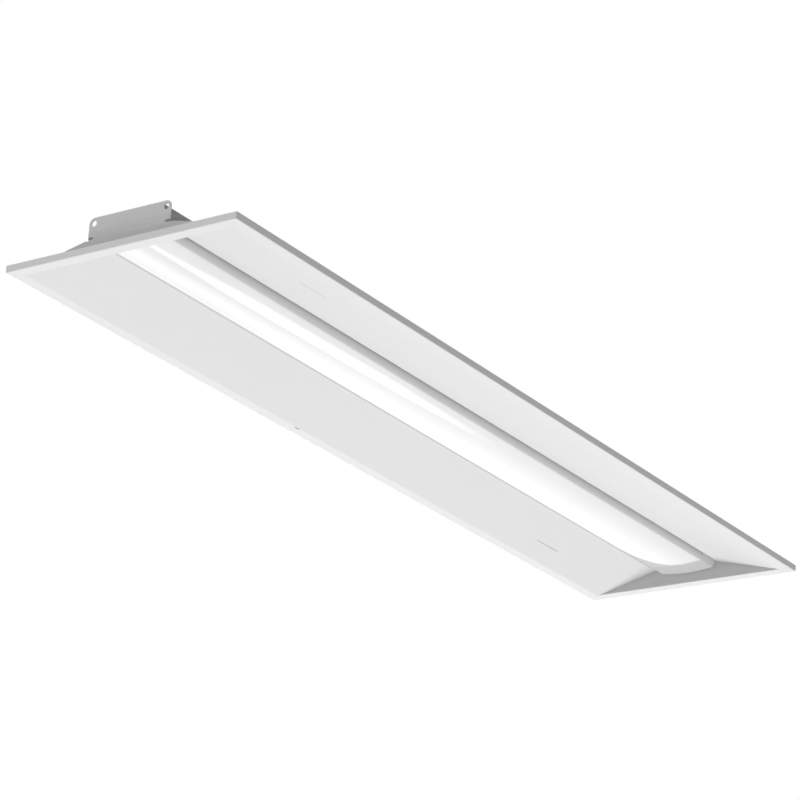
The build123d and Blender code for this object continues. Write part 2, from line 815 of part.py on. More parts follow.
# Protective earth: screw, ring terminal and lead
ground_seat = box_inside_y + ring_sheet
ring_radius = washer_radius + ring_margin
barrel_radius = wire_radius + barrel_wall
barrel_y = box_inside_y + barrel_radius
barrel_start = ground_x + ring_radius + ring_neck
ring = rod((ground_x, box_inside_y, fastener_z), (0, 1, 0), ring_radius, ring_sheet)
ring += block(
    (ground_x, box_inside_y, fastener_z - barrel_radius),
    (barrel_start + ring_neck, ground_seat, fastener_z + barrel_radius),
)
ring += rod((barrel_start, barrel_y, fastener_z), (1, 0, 0), barrel_radius, barrel_length)
ring -= side_hole(ground_x, fastener_z, screw_hole)
write("ground_terminal", ring)
write("ground_screw", hex_screw((ground_x, ground_seat, fastener_z), box_screw_reach + ring_sheet))
barrel_end = barrel_start + barrel_length
ground_route = [
    (barrel_end, barrel_y, fastener_z),
    (push_in_face + ground_run, barrel_y, fastener_z),
    *[on_floor(push_in_face + u, share * push_in_v[0], w) for u, share, w in ground_loop],
    on_floor(push_in_face + ground_straight, push_in_v[0], push_in_w),
    on_floor(push_in_face, push_in_v[0], push_in_w),
]
write("lead_ground", lead(ground_route, wire_radius))

# Grommet through the basket's side, and the leads from the driver to the boards
grommet_start = throat - grommet_flange
grommet_span = box_inside_y + 2 * grommet_flange - throat
grommet = rod((lead_hole_x, grommet_start, fastener_z), (0, 1, 0), grommet_radius, grommet_span)
for y in (grommet_start, box_inside_y):
    flange_radius = grommet_radius + grommet_overlap
    grommet += rod((lead_hole_x, y, fastener_z), (0, 1, 0), flange_radius, grommet_flange)
grommet -= side_hole(lead_hole_x, fastener_z, grommet_bore / 2)
write("lead_grommet", grommet)
for name, side in (("lead_led_plus", 1), ("lead_led_minus", -1)):
    start = on_floor(driver_far, driver_middle_v + side * terminal_pitch / 2, terminal_w)
    hole_x = lead_hole_x + side * (thin_wire_radius + seam)
    turn_x = driver_far + driver_foot + side * terminal_pitch / 4
    feed_y = connector_y - side * link_pitch / 2
    route = [
        start,
        (turn_x, start[1], start[2]),
        (turn_x - 1, box_inside_y + lead_turn, fastener_z),
        (hole_x, box_inside_y + lead_straight, fastener_z),
        (hole_x, throat - lead_straight, fastener_z),
        (hole_x - feed_loop, feed_y + feed_loop, link_z - feed_dip),
        (hole_x - feed_straight, feed_y, link_z),
        (feed_x + connector_size[0] / 2, feed_y, link_z),
    ]
    write(name, lead(route, thin_wire_radius))

# Grid clips: u along the light, v down the wing from the slot, w off the wing's back
clip_plane = Plane(
    origin=(clip_slot_x, clip_slot_y + sheet, wing_back(clip_slot_y + sheet) + contact),
    x_dir=(1, 0, 0),
    z_dir=wing_normal,
)
pin_v = bracket_depth / 2
pin_w = sheet + clip_knuckle_radius + free
bracket_half = bracket_length / 2


def make_clip_bracket():
    bracket = block((-bracket_half, -sheet, 0), (bracket_half, bracket_depth, sheet))
    for end in (-1, 1):
        bracket += block(
            (end * bracket_half, 0, 0), (end * (bracket_half - sheet), bracket_depth, bracket_ear)
        )
    bracket -= rod((-bracket_half, pin_v, pin_w), (1, 0, 0), clip_pin_radius, bracket_length)
    tab = block(
        (clip_slot_x - clip_tab / 2, clip_slot_y, wing_under(clip_slot_y)),
        (clip_slot_x + clip_tab / 2, clip_slot_y + sheet, floor_top(clip_slot_y + sheet) - sheet / 2),
    )
    return clip_plane * bracket + tab


def make_clip_pin():
    start = (-bracket_half - clip_pin_head_height, pin_v, pin_w)
    pin = rod(start, (1, 0, 0), clip_pin_radius, bracket_length + 2 * clip_pin_head_height)
    pin += rod(start, (1, 0, 0), clip_pin_head, clip_pin_head_height)
    pin += rod((bracket_half, pin_v, pin_w), (1, 0, 0), clip_pin_head, clip_pin_head_height)
    return clip_plane * pin


def make_grid_clip():
    arm_w = pin_w - clip_knuckle_radius
    tip_v = pin_v - clip_reach
    half = clip_width / 2
    arm = block((-half, tip_v, arm_w), (half, pin_v, arm_w + clip_sheet))
    arm += block((-half, tip_v, arm_w), (half, tip_v + clip_sheet, arm_w + clip_hook))
    hub_half = bracket_half - sheet - free
    hub_start = (-hub_half, pin_v, pin_w)
    arm += rod(hub_start, (1, 0, 0), clip_knuckle_radius, 2 * hub_half)
    bore = clip_pin_radius + clip_pin_play
    return clip_plane * (arm - rod(hub_start, (1, 0, 0), bore, 2 * hub_half))


clip_bracket = make_clip_bracket()
write("clip_bracket_left", clip_bracket)
write("clip_bracket_right", turned(clip_bracket))
clip_pin = make_clip_pin()
write("clip_pin_left", clip_pin)
write("clip_pin_right", turned(clip_pin))
grid_clip = make_grid_clip()
write("grid_clip_left", grid_clip)
write("grid_clip_right", turned(grid_clip))
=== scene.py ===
import json
import math
import bmesh
import bpy
from mathutils import Matrix, Vector


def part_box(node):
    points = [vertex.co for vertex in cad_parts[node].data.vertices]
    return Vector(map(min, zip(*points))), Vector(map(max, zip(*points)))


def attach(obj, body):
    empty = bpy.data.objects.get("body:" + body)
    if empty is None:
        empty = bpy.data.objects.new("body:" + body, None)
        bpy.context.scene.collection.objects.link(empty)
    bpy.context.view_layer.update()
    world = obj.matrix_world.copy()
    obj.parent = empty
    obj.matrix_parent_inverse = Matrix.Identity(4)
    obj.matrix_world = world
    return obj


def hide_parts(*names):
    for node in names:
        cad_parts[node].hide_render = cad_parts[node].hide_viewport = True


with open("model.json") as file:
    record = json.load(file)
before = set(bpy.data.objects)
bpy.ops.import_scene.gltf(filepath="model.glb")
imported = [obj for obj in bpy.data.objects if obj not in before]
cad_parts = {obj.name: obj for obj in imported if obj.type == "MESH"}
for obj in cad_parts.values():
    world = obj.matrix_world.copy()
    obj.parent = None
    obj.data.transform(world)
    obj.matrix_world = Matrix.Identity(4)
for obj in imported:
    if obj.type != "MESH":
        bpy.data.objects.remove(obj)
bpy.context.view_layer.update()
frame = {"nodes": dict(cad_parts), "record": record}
print("frame loaded:", len(frame["nodes"]), "nodes")

mm = 0.001
noiseSpan = (0.3, 0.7)  # most of a noise texture's values lie between these


# Studio: camera as in the photograph, soft lamps, a pale floor far below the ceiling light
studio = {
    "eye": (-2.8548, -1.9447, -1.3035),
    "ahead": (0.76209, 0.53583, 0.36346),
    "below": (0.33185, 0.15876, -0.92988),
    "lens": 141.92,
    "sensor": 36.0,
    "clipEnd": 200.0,
    "floorHeight": -6.2,
    "floorSize": 60.0,
    "floorCloud": 900.0,
    "floorTone": (0.88, 0.9),
    "floorRough": 0.9,
    "floorLift": 0.38,
    "ambient": 0.358,
}

# name: place, size in metres and power in watts; each one aims at the origin
lamps = {
    "lampBelow": ((0.4, 0.9, -4.2), 3.0, 141.0),
    "lampNearEnd": ((-4.5, 0.3, 1.6), 2.4, 49.0),
    "lampFarEnd": ((4.5, 2.0, 0.6), 2.4, 11.0),
    "lampAbove": ((0.6, 1.6, 3.8), 3.0, 82.0),
}


def makeCamera():
    ahead = Vector(studio["ahead"]).normalized()
    up = -Vector(studio["below"])
    right = ahead.cross(up).normalized()
    up = right.cross(ahead)
    data = bpy.data.cameras.new("camera")
    data.lens = studio["lens"]
    data.sensor_width = studio["sensor"]
    data.clip_end = studio["clipEnd"]
    camera = bpy.data.objects.new("camera", data)
    turn = Matrix((right, up, -ahead)).transposed().to_4x4()
    camera.matrix_world = Matrix.Translation(studio["eye"]) @ turn
    bpy.context.scene.collection.objects.link(camera)
    bpy.context.scene.camera = camera


def makeLamp(name, place, size, power):
    data = bpy.data.lights.new(name, "AREA")
    data.shape = "DISK"
    data.size = size
    data.energy = power
    lamp = bpy.data.objects.new(name, data)
    lamp.location = place
    lamp.rotation_euler = (-Vector(place)).to_track_quat("-Z", "Y").to_euler()
    lamp.visible_camera = False
    bpy.context.scene.collection.objects.link(lamp)


class Signal:
    # a shader socket that can stand in plain arithmetic
    def __init__(self, finish, socket):
        self.finish = finish
        self.socket = socket

    def maths(self, operation, *values):
        inputs = dict(enumerate(values))
        return self.finish.add("Math", {"operation": operation}, inputs)

    def __add__(self, other):
        return self.maths("ADD", self, other)

    def __radd__(self, other):
        return self.maths("ADD", other, self)

    def __sub__(self, other):
        return self.maths("SUBTRACT", self, other)

    def __rsub__(self, other):
        return self.maths("SUBTRACT", other, self)

    def __mul__(self, other):
        return self.maths("MULTIPLY", self, other)

    def __rmul__(self, other):
        return self.maths("MULTIPLY", other, self)

    def __truediv__(self, other):
        return self.maths("DIVIDE", self, other)

    def __pow__(self, other):
        return self.maths("POWER", self, other)

    def __abs__(self):
        return self.maths("ABSOLUTE", self)

    def higher(self, other):
        return self.maths("MAXIMUM", self, other)

    def lower(self, other):
        return self.maths("MINIMUM", self, other)

    def above(self, edge):
        # 1 above the edge, 0 elsewhere
        return self.maths("GREATER_THAN", self, edge)

    def below(self, edge):
        return self.maths("LESS_THAN", self, edge)

    def ramp(self, start, end, low=0.0, high=1.0, smooth=True):
        kind = "SMOOTHSTEP" if smooth else "LINEAR"
        sockets = {"Value": self, "From Min": start, "From Max": end, "To Min": low, "To Max": high}
        return self.finish.add("MapRange", {"interpolation_type": kind}, sockets)


class Finish:
    def __init__(self, name):
        self.material = bpy.data.materials.new(name)
        self.material.use_nodes = True
        self.tree = self.material.node_tree
        self.tree.nodes.clear()
        place = self.add("TexCoord", {}, {}, "Object")
        # the place on the object in millimetres, whole and as x, y and z
        self.spot = self.add("VectorMath", {"operation": "SCALE"}, {0: place, "Scale": 1 / mm})
        for output, axis in enumerate("xyz"):
            setattr(self, axis, self.add("SeparateXYZ", {}, {0: self.spot}, output))

    def add(self, kind, settings, sockets, output=0):
        made = self.tree.nodes.new("ShaderNode" + kind)
        for name, value in settings.items():
            setattr(made, name, value)
        for name, value in sockets.items():
            if isinstance(value, Signal):
                self.tree.links.new(value.socket, made.inputs[name])
            else:
                made.inputs[name].default_value = value
        return Signal(self, made.outputs[output]) if made.outputs else made

    def noise(self, size, detail=2.0, rough=0.5, stretch=(1.0, 1.0, 1.0)):
        # size is in millimetres
        spread = tuple(1.0 / (size * part) for part in stretch)
        vector = self.add("VectorMath", {"operation": "MULTIPLY"}, {0: self.spot, 1: spread})
        sockets = {"Vector": vector, "Scale": 1.0, "Detail": detail, "Roughness": rough}
        return self.add("TexNoise", {}, sockets)

    def cells(self, size):
        # each cell has a colour of its own; size is in millimetres
        vector = self.add("VectorMath", {"operation": "SCALE"}, {0: self.spot, "Scale": 1.0 / size})
        return self.add("TexVoronoi", {}, {"Vector": vector, "Scale": 1.0}, "Color")

    def even(self, level):
        # a grey with the same level in red, green and blue
        return self.add("CombineColor", {}, {0: level, 1: level, 2: level})

    def ray(self, kind):
        return self.add("LightPath", {}, {}, f"Is {kind} Ray")

    def blend(self, factor, first, second):
        # of the node's sockets, 0 is the factor, 6 and 7 are the two colours, and output 2 their mix
        sockets = {0: factor, 6: fourfold(first), 7: fourfold(second)}
        return self.add("Mix", {"data_type": "RGBA"}, sockets, 2)

    def bump(self, height, depth):
        # depth is in millimetres
        sockets = {"Strength": 1.0, "Distance": depth * mm, "Height": height}
        return self.add("Bump", {}, sockets)

    def surface(self, **sockets):
        names = {key.replace("_", " "): fourfold(value) for key, value in sockets.items()}
        shader = self.add("BsdfPrincipled", {}, names)
        self.add("OutputMaterial", {}, {"Surface": shader})
        return self.material


def fourfold(value):
    return (*value, 1.0) if isinstance(value, tuple) and len(value) == 3 else value


def makeWorld():
    world = bpy.data.worlds.new("studioWorld")
    world.use_nodes = True
    tree = world.node_tree
    tree.nodes.clear()
    path = tree.nodes.new("ShaderNodeLightPath")
    seen = tree.nodes.new("ShaderNodeMath")
    seen.operation = "MAXIMUM"
    tree.links.new(path.outputs["Is Camera Ray"], seen.inputs[0])
    tree.links.new(path.outputs["Is Glossy Ray"], seen.inputs[1])
    clear = tree.nodes.new("ShaderNodeMath")
    clear.operation = "MAXIMUM"
    tree.links.new(seen.outputs[0], clear.inputs[0])
    tree.links.new(path.outputs["Is Transmission Ray"], clear.inputs[1])
    level = tree.nodes.new("ShaderNodeMapRange")
    level.inputs["To Min"].default_value = studio["ambient"]
    level.inputs["To Max"].default_value = 1.0
    tree.links.new(clear.outputs[0], level.inputs["Value"])
    back = tree.nodes.new("ShaderNodeBackground")
    back.inputs["Color"].default_value = (1.0, 1.0, 1.0, 1.0)
    tree.links.new(level.outputs[0], back.inputs["Strength"])
    output = tree.nodes.new("ShaderNodeOutputWorld")
    tree.links.new(back.outputs[0], output.inputs["Surface"])
    bpy.context.scene.world = world


def makeFloor():
    shape = bmesh.new()
    bmesh.ops.create_grid(shape, x_segments=4, y_segments=4, size=studio["floorSize"] / 2)
    bmesh.ops.translate(shape, verts=shape.verts, vec=(0, 0, studio["floorHeight"]))
    floor = linkMesh("floor", shape)
    finish = Finish("paleFloor")
    tone = finish.noise(studio["floorCloud"], detail=3.0).ramp(*noiseSpan, *studio["floorTone"])
    # the floor looks brighter than it lights the object
    seen = finish.ray("Camera").higher(finish.ray("Glossy")).higher(finish.ray("Transmission"))
    pale = finish.surface(
        Base_Color=finish.even(tone),
        Roughness=studio["floorRough"],
        Emission_Color=finish.even(seen * studio["floorLift"]),
        Emission_Strength=1.0,
    )
    floor.data.materials.append(pale)


def linkMesh(name, shape):
    mesh = bpy.data.meshes.new(name)
    shape.to_mesh(mesh)
    shape.free()
    made = bpy.data.objects.new(name, mesh)
    bpy.context.scene.collection.objects.link(made)
    return made


makeCamera()
for name, (place, size, power) in lamps.items():
    makeLamp(name, place, size, power)
makeWorld()
makeFloor()
bpy.context.scene.view_settings.view_transform = "Standard"
print("studio ready")


# White powder coat on the faces that are seen from below, thin grey primer on the back
powderCoat = {
    "colour": (0.812, 0.812, 0.810),
    "shade": (0.802, 0.802, 0.802),
    "cloudSize": 160.0,
    # painted shade: the wings' colour, darker than the rim's
    "wing": (0.758, 0.758, 0.757),
    # painted shade: the end wall's colour, and lighter towards its top
    "wall": (0.615, 0.615, 0.617),
    "wallTop": (0.648, 0.648, 0.650),
    "wallFoot": 1.2,
    "wallFade": (4.0, 9.0),
    # painted shade beside the far end wall: its colour, reach and fall-off
    "corner": (0.50, 0.50, 0.502),
    "cornerReach": 1.5,
    "cornerPower": 1.4,
    "cornerLow": 0.1,
    # painted shade along the throat's edge
    "edgeShade": 0.9,
    "edgeSoft": 0.9,
    "edgeWider": 1.25,
    # painted shade over the blade slot
    "slotShade": (0.05, 0.05, 0.052),
    "rough": 0.42,
    "fleckSize": 40.0,
    "fleckRough": 0.03,
    "peelSize": 1.1,
    "peelDepth": 0.012,
}
bladeSlot = {"x": -99.0, "y": 137.3, "halfLong": 4.05, "halfWide": 1.15}
backCoat = {
    "colour": (0.700, 0.702, 0.704),
    "shade": (0.530, 0.533, 0.536),
    "rough": 0.50,
    "streakSize": 3.0,
    "streakStretch": (1.0, 14.0, 1.0),
    "streakSpan": (0.35, 0.65),
    "streakShare": 0.25,
    # painted shade: the heights over which the back coat lightens upwards
    "shadeRise": (18.0, 42.0),
    # painted shade at each foot of the ears: its colour, place, size and fall-off
    "scale": (0.14, 0.14, 0.145),
    "footY": 51.0,
    "footZ": 24.6,
    "footLong": 4.2,
    "footHigh": 1.7,
    "footSoft": (0.35, 1.3),
    "footDark": 0.85,
}
panelShape = {
    "rimY": 136.2,
    "rimX": 591.7,
    "throat": 42.5,
    "rise": 24.5,
    "halfWidth": 151.0,
    "halfLength": 606.5,
    "sheet": 0.8,
    "wallSkin": 0.3,
    "saddleGap": 0.2,
}

# The lamp chamber's end, over the arch of the diffuser
chamber = {
    "archRise": 2.8,
    "archHalf": 37.4,
    "archLow": 14.1,
    "side": (34.0, 38.0),
    "top": 20.0,
    "glow": 0.35,
}


def paintedWingShade(finish, white):
    # painted shade: darker on the wings than on the rim, and more so beside the far end wall and along the
    # throat's edge
    wing = 1.0 - (abs(finish.y) - panelShape["rimY"]).above(0.0)
    white = finish.blend(wing, white, powderCoat["wing"])
    # painted shade on the wings beside the far end wall, reaching further where the wing is higher
    height = finish.z.higher(powderCoat["cornerLow"])
    reach = (panelShape["rimX"] - finish.x) / (height * powderCoat["cornerReach"])
    corner = wing * reach.ramp(0.0, 1.0, 1.0, 0.0) ** powderCoat["cornerPower"]
    # painted shade along the throat's edge, wider on the wing at +y
    edgeSoft = powderCoat["edgeSoft"]
    edgeFrom = panelShape["rise"] - edgeSoft - finish.y.above(0.0) * powderCoat["edgeWider"]
    edge = ((finish.z - edgeFrom) / edgeSoft).ramp(0.0, 1.0, 0.0, powderCoat["edgeShade"])
    white = finish.blend(corner.higher(edge), white, powderCoat["corner"])
    # painted shade: the slot for a blade that lifts the driver cover is painted near black
    inLength = abs(finish.x - bladeSlot["x"]).below(bladeSlot["halfLong"])
    inWidth = abs(finish.y - bladeSlot["y"]).below(bladeSlot["halfWide"])
    return finish.blend(inLength * inWidth, white, powderCoat["slotShade"])


def paintedWallShade(finish, white):
    # painted shade: darker on the end wall than on the rim, and lighter again towards its top
    beyond = (abs(finish.x) - panelShape["rimX"] - panelShape["wallSkin"]).above(0.0)
    wall = (finish.z - powderCoat["wallFoot"]).above(0.0) * (1.0 - beyond)
    rising = finish.z.ramp(*powderCoat["wallFade"], smooth=False)
    return finish.blend(wall, white, finish.blend(rising, powderCoat["wall"], powderCoat["wallTop"]))


def primer(finish):
    streak = finish.noise(backCoat["streakSize"], detail=3.0, rough=0.6, stretch=backCoat["streakStretch"])
    streak = streak.ramp(*backCoat["streakSpan"], 0.0, backCoat["streakShare"])
    # painted shade: the back coat darkens from the top of the ears downwards; the streaks are the coat's own
    shadeAndStreak = (finish.z.ramp(*backCoat["shadeRise"], smooth=False) + streak).lower(1.0)
    grey = finish.blend(shadeAndStreak, backCoat["shade"], backCoat["colour"])
    # painted shade: a dark patch at each foot of the ears
    footY = (abs(finish.y) - backCoat["footY"]) / backCoat["footLong"]
    footZ = (finish.z - backCoat["footZ"]) / backCoat["footHigh"]
    scale = (footY * footY + footZ * footZ).ramp(*backCoat["footSoft"], backCoat["footDark"], 0.0)
    return finish.blend(scale, grey, backCoat["scale"])


def chamberLight(finish):
    # the glow of the LEDs on the wall that closes their chamber, above the diffuser
    arch = finish.y * finish.y * (chamber["archRise"] / chamber["archHalf"] ** 2) + chamber["archLow"]
    inside = (finish.z - arch).above(0.0) * abs(finish.y).ramp(*chamber["side"], 1.0, 0.0)
    inside = inside * (1.0 - (abs(finish.x) - (panelShape["rimX"] + panelShape["wallSkin"])).above(0.0))
    return inside * (1.0 - (finish.z - chamber["top"]).above(0.0)) * chamber["glow"]


def coatedSheet(name, backMask, endWall=False):
    finish = Finish(name)
    cloud = finish.noise(powderCoat["cloudSize"], detail=3.0).ramp(*noiseSpan)
    white = finish.blend(cloud, powderCoat["shade"], powderCoat["colour"])
    white = paintedWallShade(finish, white) if endWall else paintedWingShade(finish, white)
    mask = backMask(finish)
    peel = finish.noise(powderCoat["peelSize"], detail=1.0)
    spread = powderCoat["fleckRough"]
    fleck = finish.noise(powderCoat["fleckSize"], detail=2.0).ramp(*noiseSpan, -spread, spread)
    rough = mask * (backCoat["rough"] - powderCoat["rough"]) + powderCoat["rough"] + fleck
    sockets = {
        "Base_Color": finish.blend(mask, white, primer(finish)),
        "Roughness": rough,
        "Normal": finish.bump(peel, powderCoat["peelDepth"]),
    }
    if endWall:
        sockets["Emission_Color"] = finish.even(chamberLight(finish))
        sockets["Emission_Strength"] = 1.0
    return finish.surface(**sockets)


def panelBack(finish):
    side = abs(finish.y)
    slope = panelShape["rise"] / (panelShape["rimY"] - panelShape["throat"])
    middle = ((panelShape["rimY"] - side) * slope).higher(0.0) + panelShape["sheet"] / 2
    over = (finish.z - middle).above(0.0)
    inRim = (side - (panelShape["halfWidth"] - panelShape["sheet"] / 2)).above(0.0)
    outThroat = (side - (panelShape["throat"] + panelShape["sheet"] / 2)).above(0.0)
    return over * (1.0 - inRim) * outThroat


def endBack(finish):
    along = abs(finish.x)
    saddle = 1.0 - (along - (panelShape["rimX"] - panelShape["saddleGap"])).above(0.0)
    outside = (along - (panelShape["rimX"] + panelShape["sheet"] / 2)).above(0.0)
    inRim = (along - (panelShape["halfLength"] - panelShape["sheet"] / 2)).above(0.0)
    over = (finish.z - panelShape["sheet"] / 2).above(0.0)
    return (saddle + outside * (1.0 - inRim) * over).lower(1.0)


def noBack(finish):
    return finish.z * 0.0


# Galvanised and plated steels: the two tones of a spangle, and its size in millimetres
steels = {
    "galvanised_sheet": {
        "dark": (0.38, 0.385, 0.39), "light": (0.46, 0.465, 0.47), "rough": 0.44, "metal": 0.3, "cell": 6.0,
    },
    "zinc_steel": {
        "dark": (0.50, 0.51, 0.52), "light": (0.64, 0.65, 0.66), "rough": 0.34, "metal": 0.8, "cell": 1.2,
    },
    "spring_steel": {
        "dark": (0.36, 0.37, 0.40), "light": (0.46, 0.47, 0.50), "rough": 0.30, "metal": 0.85, "cell": 2.0,
    },
    "aluminium": {
        "dark": (0.66, 0.66, 0.66), "light": (0.78, 0.78, 0.78), "rough": 0.32, "metal": 0.85, "cell": 1.5,
    },
    "driver_metal": {
        "dark": (0.74, 0.74, 0.73), "light": (0.80, 0.80, 0.79), "rough": 0.38, "metal": 0.0, "cell": 3.0,
    },
    "green_screw": {
        "dark": (0.03, 0.27, 0.09), "light": (0.07, 0.40, 0.15), "rough": 0.32, "metal": 0.3, "cell": 1.4,
    },
}
steelGrain = {
    "cellShare": 0.45,
    "fineShare": 0.55,
    "span": (0.2, 0.8),
    "fineParts": 6,
    "rough": 0.12,
    "bump": 0.01,
}
# painted shade on the opening tongue of the driver cover
coverTipShade = {"from": 133.0, "colour": (0.03, 0.03, 0.032)}
# painted shade on the sides of the roof channel
channelSideShade = {"dark": (0.205, 0.21, 0.215), "light": (0.28, 0.285, 0.29), "top": 45.1}


def steelFinish(name, values, sides=None, tip=None):
    finish = Finish(name)
    shade = finish.add("SeparateColor", {}, {0: finish.cells(values["cell"])})
    fine = finish.noise(values["cell"] / steelGrain["fineParts"], detail=2.0)
    mask = (shade * steelGrain["cellShare"] + fine * steelGrain["fineShare"]).ramp(*steelGrain["span"])
    colour = finish.blend(mask, values["dark"], values["light"])
    if sides:
        # painted shade: the sides of the roof channel are darker than its top
        tone = finish.blend(mask, sides["dark"], sides["light"])
        colour = finish.blend((finish.z - sides["top"]).above(0.0), tone, colour)
    if tip:
        # painted shade: the opening tongue of the driver cover is painted near black
        colour = finish.blend(finish.y.above(tip["from"]), colour, tip["colour"])
    return finish.surface(
        Base_Color=colour,
        Metallic=values["metal"],
        Roughness=values["rough"] + (shade - 0.5) * steelGrain["rough"],
        Normal=finish.bump(fine, steelGrain["bump"]),
    )


# Opal diffuser, lit from behind: two soft bands that merge towards the far end
opal = {
    "colour": (0.60, 0.60, 0.60),
    # painted shade: the colour of the legs up towards the housing
    "leg": (0.40, 0.40, 0.402),
    # painted shade: the colour of the far end beyond the lit zone
    "end": (0.555, 0.555, 0.558),
    "rough": 0.40,
    "roughSpread": 0.04,
    "toneSize": 60.0,
    "toneLift": 1.02,
    "grainSize": 0.9,
    "grainDepth": 0.008,
    "glow": 0.195,
    "bandGlow": 0.18,
    "legGlow": 0.085,
    "nearGlow": 0.05,
}

# Where its light falls, in millimetres along the light (x) and across it (y). A pair is from and to,
# legShade and legTip have the share at each as well, and the soft corner's pair is in its own radii
opalWide = {"spanX": (-550.0, 100.0), "fromY": (-3.0, -36.0), "toY": 14.0, "power": 1.3}
opalStreak = {
    "spanX": (-550.0, 0.0),
    "middleY": (-12.0, -20.0),
    "openX": (-580.0, -380.0),
    "half": 6.0,
    "closeX": (-160.0, 40.0),
    "narrower": 4.0,
    "soft": 6.0,
    "endX": (-60.0, 150.0),
}
opalNear = {
    "spanX": (-400.0, -120.0),
    "sideY": (14.0, 30.0),
    "sideLoss": 0.4,
    "dimY": (-36.0, -22.0),
    "dim": 0.03,
    "endX": -563.0,
    "soft": 20.0,
}
opalFar = {
    "endX": 558.0,
    "soft": 7.0,
    "cornerX": 480.0,
    "cornerY": -5.0,
    "cornerLong": 78.0,
    "cornerWide": 42.0,
    "cornerSoft": (0.86, 1.04),
}
opalSides = {
    "crownRight": (-38.5, -34.5),
    "crownLeft": (37.6, 38.6),
    "legFrom": (36.5, 38.5),
    "legTo": (40.2, 42.2),
    "legLast": 0.35,
    "legShade": (38.3, 42.0, 0.0, 0.8),
    "legTip": (41.4, 42.4, 0.0, 0.9),
}


def opalBands(x, y):
    # the brighter side, and the streak of its own at the near end
    start = x.ramp(*opalWide["spanX"], *opalWide["fromY"], smooth=False)
    wide = ((y - start) / (opalWide["toY"] - start)).ramp(0.0, 1.0, smooth=False) ** opalWide["power"]
    middle = x.ramp(*opalStreak["spanX"], *opalStreak["middleY"], smooth=False)
    half = x.ramp(*opalStreak["openX"], 0.0, opalStreak["half"])
    half = half - x.ramp(*opalStreak["closeX"], 0.0, opalStreak["narrower"])
    reach = (abs(y - middle) - half).ramp(0.0, opalStreak["soft"], 1.0, 0.0)
    return wide.higher(reach * x.ramp(*opalStreak["endX"], 1.0, 0.0))


def opalLit(x, y):
    # the lit zone ends before the far end wall, and is rounded off at its left corner
    soft = opalFar["soft"] / 2
    lit = x.ramp(opalFar["endX"] - soft, opalFar["endX"] + soft, 1.0, 0.0)
    cornerX = (x - opalFar["cornerX"]).higher(0.0) / opalFar["cornerLong"]
    cornerY = (y - opalFar["cornerY"]).higher(0.0) / opalFar["cornerWide"]
    rounded = (cornerX * cornerX + cornerY * cornerY).ramp(*opalFar["cornerSoft"])
    inCorner = (x - opalFar["cornerX"]).above(0.0) * (y - opalFar["cornerY"]).above(0.0)
    return lit * (1.0 - inCorner * rounded)


def opalFinish(name):
    finish = Finish(name)
    x, y = finish.x, finish.y
    nearSide = x.ramp(*opalNear["spanX"], 1.0, 0.0)
    band = opalBands(x, y) * (1.0 - nearSide * y.ramp(*opalNear["sideY"], 0.0, opalNear["sideLoss"]))
    nearEnd = x.ramp(opalNear["endX"] - opalNear["soft"], opalNear["endX"], 1.0, 0.0)
    crown = y.ramp(*opalSides["crownRight"]) * y.ramp(*opalSides["crownLeft"], 1.0, 0.0)
    dim = nearSide * y.ramp(*opalNear["dimY"], opalNear["dim"], 0.0)
    glow = (opal["glow"] - dim + opal["bandGlow"] * band * (1.0 - nearEnd)) * crown * opalLit(x, y)
    glow = glow + nearEnd * opal["nearGlow"] * crown
    # the top of each leg still catches some of the light
    legTop = opal["legGlow"] * abs(y).ramp(*opalSides["legFrom"])
    glow = glow + legTop * abs(y).ramp(*opalSides["legTo"], 1.0, opalSides["legLast"])
    grain = finish.noise(opal["grainSize"], detail=1.0)
    tone = finish.noise(opal["toneSize"], detail=2.0).ramp(*noiseSpan)
    base = finish.blend(tone, opal["colour"], tuple(part * opal["toneLift"] for part in opal["colour"]))
    # painted shade: the legs' colour darkens the further they go up into the housing
    leg = abs(y).ramp(*opalSides["legShade"], smooth=False) + abs(y).ramp(*opalSides["legTip"])
    base = finish.blend(leg, base, opal["leg"])
    # painted shade: darker beyond the lit zone at the far end
    base = finish.blend(x.above(opalFar["endX"]), base, opal["end"])
    return finish.surface(
        Base_Color=base,
        Roughness=opal["rough"] + tone * opal["roughSpread"],
        Emission_Color=finish.even(glow),
        Emission_Strength=1.0,
        Normal=finish.bump(grain, opal["grainDepth"]),
    )


# Moulded plastics, insulation and the lamp boards: the two tones of a cloud, and its size in millimetres
plastics = {
    "white_plastic": {"dark": (0.78, 0.78, 0.75), "light": (0.86, 0.86, 0.84), "rough": 0.45, "size": 4.0},
    "grey_plastic": {"dark": (0.30, 0.31, 0.32), "light": (0.40, 0.41, 0.42), "rough": 0.50, "size": 4.0},
    "black_plastic": {
        "dark": (0.018, 0.018, 0.018), "light": (0.035, 0.035, 0.036), "rough": 0.48, "size": 4.0,
    },
    "orange_plastic": {"dark": (0.72, 0.24, 0.03), "light": (0.86, 0.34, 0.06), "rough": 0.28, "size": 5.0},
    "black_wire": {"dark": (0.015, 0.015, 0.015), "light": (0.035, 0.035, 0.035), "rough": 0.36, "size": 3.0},
    "white_wire": {"dark": (0.74, 0.74, 0.71), "light": (0.84, 0.84, 0.82), "rough": 0.38, "size": 3.0},
    "green_wire": {"dark": (0.02, 0.24, 0.06), "light": (0.04, 0.34, 0.10), "rough": 0.36, "size": 3.0},
    "red_wire": {"dark": (0.48, 0.02, 0.015), "light": (0.62, 0.04, 0.03), "rough": 0.36, "size": 3.0},
    "board_white": {"dark": (0.82, 0.82, 0.80), "light": (0.88, 0.88, 0.86), "rough": 0.40, "size": 12.0},
    "led_yellow": {"dark": (0.86, 0.62, 0.10), "light": (0.95, 0.76, 0.22), "rough": 0.30, "size": 1.2},
}
